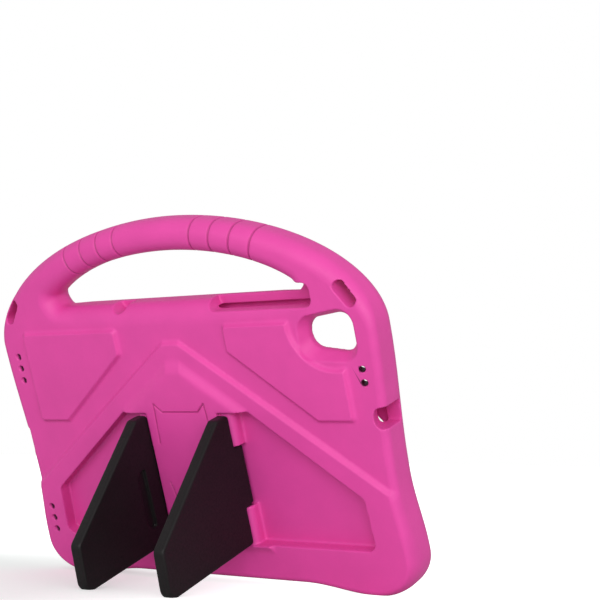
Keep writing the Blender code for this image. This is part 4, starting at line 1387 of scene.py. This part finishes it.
@dataclass
class Grooves:
    """Fine grooves pressed into the handle's grip and into the middle block, with a mark that paints
    shade into them.
    """

    first_x: float = 23.0 * MM
    pitch: float = 10.8 * MM
    count: int = 4
    disc_radius: float = 13.0 * MM
    disc_sides: int = 32
    inner_reach: float = 86.0 * MM
    depth: float = 0.8 * MM
    width: float = 0.85 * MM
    figure_depth: float = 0.8 * MM
    figure_width: float = 0.6 * MM
    figure_guide: float = 3.0 * MM
    figure_lines: Tuple[Tuple[Point2, ...], ...] = (
        ((-16.3, -15.0), (-15.4, 4.6), (-10.9, 0.5), (10.5, 0.5), (14.9, 4.6), (16.0, -7.6)),
        ((-15.0, -35.0), (-12.6, -44.0)),
        ((15.0, -35.0), (12.6, -44.0)))
    fine_reach: float = 1.3
    fine_rounds: int = 2
    shade_mark: str = "groove"

    def ring_tree(self) -> Tree:
        """Tree that sets a disc across the handle at each groove.

        Returns:
            The tree.
        """
        tree = Tree("grip_rings")
        for name in ("First", "Pitch", "Reach", "Rise", "Base", "Depth Middle", "Disc Radius", "Side"):
            tree.size(name)
        tree.size("Count", "NodeSocketInt")
        tree.size("Material", "NodeSocketMaterial")
        tree.start()
        given = tree.given.outputs
        disc = tree.node("GeometryNodeMeshCircle", {"fill_type": "NGON"}, Vertices=self.disc_sides,
                         Radius=given["Disc Radius"])
        step = tree.node("ShaderNodeCombineXYZ", X=given["Pitch"])
        line = tree.node("GeometryNodeMeshLine", Count=given["Count"], Offset=step.outputs[0])
        index = tree.node("GeometryNodeInputIndex")
        x = tree.math("ADD", given["First"], tree.math("MULTIPLY", index.outputs[0], given["Pitch"]))
        share = tree.math("DIVIDE", x, given["Reach"])
        root = tree.math("SQRT", tree.math("SUBTRACT", 1.0, tree.math("MULTIPLY", share, share)))
        y = tree.math("ADD", given["Base"], tree.math("MULTIPLY", given["Rise"], root))
        fall = tree.math("DIVIDE", tree.math("MULTIPLY", given["Rise"], share),
                         tree.math("MULTIPLY", given["Reach"], root))
        at = tree.node("ShaderNodeCombineXYZ", X=tree.math("MULTIPLY", x, given["Side"]), Y=y,
                       Z=given["Depth Middle"])
        along = tree.node("ShaderNodeCombineXYZ", X=given["Side"], Y=tree.math("MULTIPLY", fall, -1.0))
        moved = tree.node("GeometryNodeSetPosition", Geometry=line.outputs[0], Position=at.outputs[0])
        turn = tree.node("FunctionNodeAlignRotationToVector", {"axis": "Z"}, Vector=along.outputs[0])
        rings = tree.node("GeometryNodeInstanceOnPoints", Points=moved.outputs[0],
                          Instance=disc.outputs[0], Rotation=turn.outputs[0])
        tree.finish(rings.outputs[0])
        return tree

    def press_tree(self) -> Tree:
        """Tree that presses the surface in along the guides and stores how deep each point lies as the
        mark for painted shade.

        Returns:
            The tree.
        """
        tree = Tree("pressed_lines")
        tree.size("Guides", "NodeSocketObject")
        tree.size("Depth")
        tree.size("Width")
        tree.size("Material", "NodeSocketMaterial")
        tree.start()
        given = tree.given.outputs
        guides = tree.node("GeometryNodeObjectInfo", Object=given["Guides"])
        near = tree.node("GeometryNodeProximity", {"target_element": "FACES"})
        tree.group.links.new(guides.outputs["Geometry"], near.inputs[0])
        fade = tree.node("ShaderNodeMapRange", {"interpolation_type": "SMOOTHSTEP"})
        tree.feed(near.outputs["Distance"], fade.inputs["Value"])
        tree.feed(given["Width"], fade.inputs["From Max"])
        tree.feed(given["Depth"], fade.inputs["To Min"])
        tree.feed(0.0, fade.inputs["To Max"])
        normal = tree.node("GeometryNodeInputNormal")
        push = tree.node("ShaderNodeVectorMath", {"operation": "SCALE"})
        tree.feed(normal.outputs[0], push.inputs[0])
        tree.feed(tree.math("MULTIPLY", fade.outputs["Result"], -1.0), push.inputs["Scale"])
        pressed = tree.node("GeometryNodeSetPosition", Geometry=given["Geometry"],
                            Offset=push.outputs[0])
        # This mark sets where the foam's colour is painted darker in the grooves, standing in for their
        # shadow.
        earlier = tree.node("GeometryNodeInputNamedAttribute", {"data_type": "FLOAT"}, Name=self.shade_mark)
        share = tree.math("DIVIDE", fade.outputs["Result"], given["Depth"])
        most = tree.math("MAXIMUM", earlier.outputs[0], share)
        marked = tree.node("GeometryNodeStoreNamedAttribute", {"data_type": "FLOAT", "domain": "POINT"},
                           Geometry=pressed.outputs[0], Name=self.shade_mark, Value=most)
        tree.finish(marked.outputs[0])
        return tree

    def grip_guides(self, case: CaseBody, material: bpy.types.Material) -> bpy.types.Object:
        """Discs across the handle, as guides for its grooves.

        Args:
            case: The case whose handle they cross.
            material: The foam's finish.

        Returns:
            All the discs as one object.
        """
        tree = self.ring_tree()
        reach = (case.shoulder_x + self.inner_reach) / 2
        rise = (case.handle_top + case.grip_top) / 2 - case.shoulder_y
        parts = []
        for side in Side:
            part = Shop.piece(side.word + "_rings", bmesh.new())
            tree.run(part, {
                "First": self.first_x, "Pitch": self.pitch, "Count": self.count, "Reach": reach,
                "Rise": rise, "Base": case.shoulder_y, "Depth Middle": case.thickness / 2,
                "Disc Radius": self.disc_radius, "Side": float(side.value), "Material": material})
            parts.append(part)
        return self.merged("grip_guides", parts)

    def figure_guides(self, case: CaseBody) -> bpy.types.Object:
        """Upright walls along the lines of the figure on the middle block.

        Args:
            case: The case that carries the block.

        Returns:
            The walls as one object.
        """
        top = case.thickness + case.raise_height + case.block_height
        bm = bmesh.new()
        for line in self.figure_lines:
            low = [bm.verts.new((x * MM, y * MM, top - self.figure_guide)) for x, y in line]
            high = [bm.verts.new((x * MM, y * MM, top + self.figure_guide)) for x, y in line]
            for i in range(len(line) - 1):
                bm.faces.new((low[i], low[i + 1], high[i + 1], high[i]))
        return Shop.piece("figure_guides", bm)

    @staticmethod
    def merged(name: str, parts: Sequence[bpy.types.Object]) -> bpy.types.Object:
        """One object with the meshes of several, which are used up.

        Args:
            name: The object's name.
            parts: The objects to merge.

        Returns:
            The merged object.
        """
        bm = bmesh.new()
        for part in parts:
            bm.from_mesh(part.data)
            bpy.data.objects.remove(part, do_unlink=True)
        mesh = bpy.data.meshes.new(name)
        bm.to_mesh(mesh)
        bm.free()
        obj = bpy.data.objects.new(name, mesh)
        bpy.context.scene.collection.objects.link(obj)
        return obj

    def refine(self, body: bpy.types.Object, guides: bpy.types.Object, reach: float) -> None:
        """Divides the mesh finely near the guides.

        Args:
            body: The piece.
            guides: Faces that the grooves follow.
            reach: Distance from them within which the mesh is divided.
        """
        tree = BVHTree.FromPolygons([v.co for v in guides.data.vertices],
                                    [tuple(p.vertices) for p in guides.data.polygons])
        low = np.min([v.co for v in guides.data.vertices], axis=0) - reach
        high = np.max([v.co for v in guides.data.vertices], axis=0) + reach
        bm = bmesh.new()
        bm.from_mesh(body.data)
        bmesh.ops.triangulate(bm, faces=bm.faces)
        for _ in range(self.fine_rounds):
            near = set()
            for vert in bm.verts:
                p = vert.co
                if low[0] < p.x < high[0] and low[1] < p.y < high[1] and low[2] < p.z < high[2]:
                    if tree.find_nearest(p, reach)[0] is not None:
                        near.add(vert)
            edges = list({e for v in near for e in v.link_edges if e.other_vert(v) in near})
            bmesh.ops.subdivide_edges(bm, edges=edges, cuts=1, use_grid_fill=True)
            bmesh.ops.triangulate(bm, faces=[f for f in bm.faces if len(f.verts) > 3])
        bm.to_mesh(body.data)
        bm.free()

    def press(self, body: bpy.types.Object, case: CaseBody, material: bpy.types.Material) -> None:
        """Presses all the grooves into the body.

        Args:
            body: The foam body.
            case: Its sizes.
            material: The foam's finish.
        """
        tree = self.press_tree()
        sets = ((self.grip_guides(case, material), self.depth, self.width),
                (self.figure_guides(case), self.figure_depth, self.figure_width))
        for guides, depth, width in sets:
            self.refine(body, guides, width * self.fine_reach)
            tree.run(body, {"Guides": guides, "Depth": depth, "Width": width, "Material": material})
            bpy.data.objects.remove(guides, do_unlink=True)


@dataclass
class LegSeat:
    """The recess and the two knuckles that one leg folds into."""

    hinge_x: float = 24.5 * MM
    hinge_depth: float = 3.2 * MM
    thickness: float = 6.0 * MM
    reach: float = 68.0 * MM
    reach_top: float = 66.6 * MM
    top: float = -1.0 * MM
    shoulder: float = 12.8 * MM
    elbow: float = -41.6 * MM
    bottom: float = -64.6 * MM
    tongue_top: float = -17.3 * MM
    tongue_bottom: float = -46.7 * MM
    knuckle: float = 4.0 * MM
    gap: float = 0.3 * MM
    clearance: float = 1.0 * MM
    pin: float = 1.2 * MM
    pin_inset: float = 2.5 * MM
    surface: float = 22.0 * MM
    corner: float = 2.0 * MM
    far_corner: float = 4.0 * MM
    corner_steps: int = 10
    elbow_grow: float = 0.6
    knuckle_steps: int = 24
    knuckle_root: float = 1.5 * MM
    knuckle_over: float = 0.5 * MM
    above: float = 8.0 * MM

    @property
    def hinge_z(self) -> float:
        """Height of the hinge's axis in the case frame.

        Returns:
            The height in metres.
        """
        return self.surface - self.hinge_depth

    @property
    def floor(self) -> float:
        """Height of the recess's floor.

        Returns:
            The height in metres.
        """
        return self.hinge_z - self.thickness / 2 - self.gap

    def recess(self, side: Side) -> Loop2:
        """Outline of the recess.

        Args:
            side: The leg's side.

        Returns:
            The outline's points.
        """
        grow = self.clearance
        wall = self.hinge_x - self.thickness / 2 - self.gap
        lean = math.hypot(self.reach_top - self.shoulder, self.elbow - self.top)
        shift = grow * lean / (self.reach_top - self.shoulder)
        corners = [
            (wall, self.top + grow),
            (self.hinge_x + self.shoulder + shift - grow, self.top + grow),
            (self.hinge_x + self.reach_top + grow, self.elbow + shift - grow * self.elbow_grow),
            (self.hinge_x + self.reach + grow, self.bottom - grow),
            (wall, self.bottom - grow),
        ]
        radii = [0, self.corner, self.far_corner, self.far_corner, 0]
        points = Drawing.polygon(corners, radii, self.corner_steps)
        return [(side.value * x, y) for x, y in points]

    def cut(self, body: bpy.types.Object, side: Side) -> None:
        """Cuts the recess and sets the knuckles in it.

        Args:
            body: The foam body.
            side: The leg's side.
        """
        above = self.surface + self.above
        Shop.apply(body, Shop.slab("recess", self.recess(side), self.floor, above), Join.CUT)
        arc = []
        for i in range(self.knuckle_steps + 1):
            turn = math.pi * i / self.knuckle_steps
            arc.append((self.hinge_x + self.knuckle * math.cos(turn),
                        self.hinge_z + self.knuckle * math.sin(turn)))
        root = self.floor - self.knuckle_root
        section = arc + [(self.hinge_x - self.knuckle, root), (self.hinge_x + self.knuckle, root)]
        over = self.clearance + self.knuckle_over
        for high, low in ((self.top + over, self.tongue_top + self.gap),
                          (self.tongue_bottom - self.gap, self.bottom - over)):
            loops = [[(side.value * x, y, z) for x, z in section] for y in (low, high)]
            Shop.apply(body, Shop.prism("knuckle", loops), Join.ADD)


@dataclass
class FoldingLeg:
    """One black leg, standing open: a thick plate with a hinge tongue."""

    side: Side
    seat: LegSeat = field(default_factory=LegSeat)
    edge: float = 1.1 * MM
    corner: float = 2.0 * MM
    elbow_radius: float = 4.0 * MM
    foot_radius: float = 5.0 * MM
    barrel_inset: float = 0.9 * MM
    scoop_depth: float = 1.6 * MM
    scoop: Tuple[float, float, float, float] = (14.0 * MM, 20.0 * MM, -25.0 * MM, -54.0 * MM)
    scoop_radii: Point2 = (1.0 * MM, 4.5 * MM)
    scoop_steps: int = 8
    past: float = 2.0 * MM
    edge_steps: int = 3
    corner_steps: int = 10
    smooth_rounds: int = 4
    voxel: float = 0.36 * MM
    triangles: int = 60000

    def outline(self) -> Loop2:
        """Reach from the hinge and height of the plate's outline, with its tongue.

        Returns:
            The outline's points.
        """
        seat = self.seat
        root = seat.knuckle + seat.gap
        corners = [(root, seat.top), (seat.shoulder, seat.top), (seat.reach_top, seat.elbow),
                   (seat.reach, seat.bottom), (root, seat.bottom)]
        radii = [self.corner, self.corner, self.elbow_radius, self.foot_radius, self.corner]
        tongue = [(root, seat.tongue_bottom), (0.0, seat.tongue_bottom), (0.0, seat.tongue_top),
                  (root, seat.tongue_top)]
        return Drawing.polygon(corners, radii, self.corner_steps) + tongue

    def build(self, stance: Stance, material: bpy.types.Material) -> bpy.types.Object:
        """Builds the leg and hangs it on its body.

        Args:
            stance: The case frame in the row frame.
            material: The leg's finish.

        Returns:
            The leg.
        """
        seat, sign = self.seat, self.side.value
        half = seat.thickness / 2
        outline = self.outline()
        widths = [1.0] * len(outline)
        loops = []
        for step in range(self.edge_steps + 1):
            turn = math.radians(90) * step / self.edge_steps
            out, deep = self.edge * (1 - math.sin(turn)), self.edge * (1 - math.cos(turn))
            loops.append([(-half + deep, y, z) for z, y in Drawing.inset(outline, widths, out)])
        loops += [[(-x, y, z) for x, y, z in loop] for loop in reversed(loops)]
        leg = Shop.prism(self.side.word + "_leg_plate", loops)
        barrel = Shop.rod("barrel", half, (0, seat.tongue_bottom + self.barrel_inset, 0),
                          (0, seat.tongue_top - self.barrel_inset, 0))
        Shop.apply(leg, barrel, Join.ADD)
        near, far, high, low = self.scoop
        tight, wide = self.scoop_radii
        loop = Drawing.polygon([(near, high), (far, high), (far, low), (near, low)],
                               [tight, wide, wide, tight], self.scoop_steps)
        face = -sign * half
        levels = (face + sign * self.scoop_depth, face - sign * self.past)
        Shop.apply(leg, Shop.prism("scoop", [[(x, y, z) for z, y in loop] for x in levels]), Join.CUT)
        bore = Shop.rod("bore", seat.pin + seat.gap, (0, seat.bottom, 0), (0, seat.top, 0))
        Shop.apply(leg, bore, Join.CUT)
        Shop.mould(leg, self.voxel * (1), self.smooth_rounds)
        Shop.thin(leg, self.triangles)
        hinge = Matrix.Translation((sign * seat.hinge_x, 0, seat.hinge_z))
        Shop.set_down(leg, stance.matrix @ hinge, material)
        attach(leg, self.side.word + "_leg")
        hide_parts(self.side.word + "_leg")
        log.info("built %s", leg.name)
        return leg


@dataclass
class FoamCase:
    """The foam piece with all its openings, dressed and hung on the case body."""

    case: CaseBody = field(default_factory=CaseBody)
    seat: LegSeat = field(default_factory=LegSeat)
    grooves: Grooves = field(default_factory=Grooves)

    def build(self, stance: Stance, material: bpy.types.Material) -> bpy.types.Object:
        """Builds the foam piece.

        Args:
            stance: The case frame in the row frame.
            material: The foam's finish.

        Returns:
            The foam piece.
        """
        body = self.case.blank()
        for side in Side:
            Shop.apply(body, self.case.panel(side), Join.ADD)
            self.seat.cut(body, side)
        self.case.open_front(body)
        self.case.open_edges(body)
        self.case.perforate(body, material)
        Shop.mould(body, self.case.voxel * (1), self.case.smooth_rounds)
        self.grooves.press(body, self.case, material)
        for side in Side:
            x = side.value * self.seat.hinge_x
            reach = self.seat.pin_inset - self.seat.gap
            bore = Shop.rod("pin_bore", self.seat.pin + self.seat.gap,
                            (x, self.seat.bottom + reach, self.seat.hinge_z),
                            (x, self.seat.top - reach, self.seat.hinge_z))
            Shop.apply(body, bore, Join.CUT)
        Shop.thin(body, self.case.triangles)
        # Paints shade onto the small holes' walls through a mesh mark.
        self.case.paint_hole_shade(body, FoamFinish.hollow)
        Shop.set_down(body, stance.matrix, material)
        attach(body, "case")
        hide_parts("case_body")
        log.info("built %s", body.name)
        return body


@dataclass
class HingePins:
    """The two steel pins, which keep their CAD shape."""

    nodes: Tuple[str, ...] = ("left_hinge_pin", "right_hinge_pin")

    def dress(self, material: bpy.types.Material) -> None:
        """Gives the pins their finish.

        Args:
            material: The wire's finish.
        """
        for name in self.nodes:
            pin = frame["nodes"][name]
            pin.data.materials.clear()
            pin.data.materials.append(material)
            log.info("dressed %s", name)


@dataclass(frozen=True)
class Lamp:
    """One soft rectangular lamp that points at the case."""

    name: str
    at: Point3
    power: float
    width: float = 0.9
    height: float = 0.6
    target: Point3 = (0.0, 0.0, 0.08)

    def hang(self) -> None:
        """Adds the lamp to the scene."""
        light = bpy.data.lights.new(self.name, "AREA")
        light.shape = "RECTANGLE"
        light.size, light.size_y = self.width, self.height
        light.energy = self.power
        lamp = bpy.data.objects.new(self.name, light)
        bpy.context.scene.collection.objects.link(lamp)
        lamp.location = self.at
        lamp.rotation_euler = (Vector(self.target) - Vector(self.at)).to_track_quat("-Z", "Y").to_euler()


@dataclass
class Studio:
    """Floor, backdrop, lights and camera."""

    camera_at: Point3 = (429.78 * MM, -521.0 * MM, 69.81 * MM)
    camera_yaw: float = math.radians(-35.034)
    camera_pitch: float = math.radians(5.524)
    camera_roll: float = math.radians(0.702)
    lens: float = 85.34
    sensor: float = 36.0
    camera_near: float = 0.05
    floor_size: float = 6.0
    floor_roughness: float = 0.9
    floor_colour: Tuple[float, float, float] = (0.68, 0.72, 0.70)
    # Camera-only floor glow: painted light, lowest at the centre beside the case so that a painted
    # darker patch stays there, rising to full white farther out.
    floor_glow: Point2 = (0.38, 1.0)
    glow_reach: Point2 = (0.12, 0.28)
    floor_shade_centre: Point3 = (-0.16, -0.10, 0.0)
    sky_strength: float = 0.53
    lamps: Tuple[Lamp, ...] = (
        Lamp("side_lamp", (1.30, -0.75, 0.40), 5.5),
        Lamp("camera_lamp", (0.75, -1.20, 0.42), 6.8),
        Lamp("front_lamp", (0.00, -1.45, 0.42), 3.9),
    )

    def set_floor(self) -> None:
        """Lays the pale floor, which keeps the object's shadow; for the camera it also glows, least near
        a point beside the case, which paints the floor darker round the case and lighter farther out.
        """
        bm = bmesh.new()
        bmesh.ops.create_grid(bm, x_segments=1, y_segments=1, size=self.floor_size / 2)
        floor = Shop.piece("studio_floor", bm)
        material = bpy.data.materials.new("floor_paper")
        material.use_nodes = True
        nodes, links = material.node_tree.nodes, material.node_tree.links
        shader = nodes["Principled BSDF"]
        shader.inputs["Base Color"].default_value = self.floor_colour + (1.0,)
        shader.inputs["Roughness"].default_value = self.floor_roughness
        shader.inputs["Emission Color"].default_value = (1.0, 1.0, 1.0, 1.0)
        place = nodes.new("ShaderNodeTexCoord")
        away = nodes.new("ShaderNodeVectorMath")
        away.operation = "DISTANCE"
        away.inputs[1].default_value = self.floor_shade_centre
        links.new(place.outputs["Object"], away.inputs[0])
        level = nodes.new("ShaderNodeMapRange")
        level.interpolation_type = "SMOOTHSTEP"
        links.new(away.outputs["Value"], level.inputs["Value"])
        limits = zip(("From Min", "From Max", "To Min", "To Max"), self.glow_reach + self.floor_glow)
        for name, value in limits:
            level.inputs[name].default_value = value
        ray = nodes.new("ShaderNodeLightPath")
        glow = nodes.new("ShaderNodeMath")
        glow.operation = "MULTIPLY"
        links.new(level.outputs["Result"], glow.inputs[0])
        links.new(ray.outputs["Is Camera Ray"], glow.inputs[1])
        links.new(glow.outputs[0], shader.inputs["Emission Strength"])
        floor.data.materials.append(material)

    def set_sky(self) -> None:
        """Plain white surround, seen by the camera as pure white."""
        world = bpy.data.worlds.new("studio_sky")
        bpy.context.scene.world = world
        world.use_nodes = True
        nodes, links = world.node_tree.nodes, world.node_tree.links
        back = nodes["Background"]
        back.inputs["Color"].default_value = (1.0, 1.0, 1.0, 1.0)
        ray = nodes.new("ShaderNodeLightPath")
        level = nodes.new("ShaderNodeMapRange")
        level.inputs["To Min"].default_value = self.sky_strength
        level.inputs["To Max"].default_value = 1.0
        links.new(ray.outputs["Is Camera Ray"], level.inputs["Value"])
        links.new(level.outputs["Result"], back.inputs["Strength"])

    def set_camera(self) -> None:
        """Places the camera as the photograph's camera stood to the case."""
        data = bpy.data.cameras.new("studio_camera")
        data.lens = self.lens
        data.sensor_width = self.sensor
        data.clip_start = self.camera_near
        camera = bpy.data.objects.new("studio_camera", data)
        bpy.context.scene.collection.objects.link(camera)
        level = math.cos(self.camera_pitch)
        ahead = Vector((math.sin(self.camera_yaw) * level, math.cos(self.camera_yaw) * level,
                        math.sin(self.camera_pitch)))
        across = ahead.cross(Vector((0, 0, 1))).normalized()
        right = Matrix.Rotation(-self.camera_roll, 3, ahead) @ across
        turn = Matrix((right, right.cross(ahead), -ahead)).transposed().to_4x4()
        camera.matrix_world = Matrix.Translation(self.camera_at) @ turn
        bpy.context.scene.camera = camera

    def build(self) -> None:
        """Sets up the whole studio round the case."""
        self.set_floor()
        self.set_sky()
        for lamp in self.lamps:
            lamp.hang()
        self.set_camera()
        bpy.context.scene.view_settings.view_transform = "Standard"


def main() -> None:
    """Builds the case, its legs and the studio."""
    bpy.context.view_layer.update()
    seat = LegSeat()
    stance = Stance.from_hinge(frame["joints"], seat.hinge_x, seat.hinge_z)
    foam, plastic, steel = FoamFinish().material(), LegFinish().material(), WireFinish().material()
    FoamCase(seat=seat).build(stance, foam)
    for side in Side:
        FoldingLeg(side, seat=seat).build(stance, plastic)
    HingePins().dress(steel)
    Studio().build()


if __name__ == "__main__":
    main()
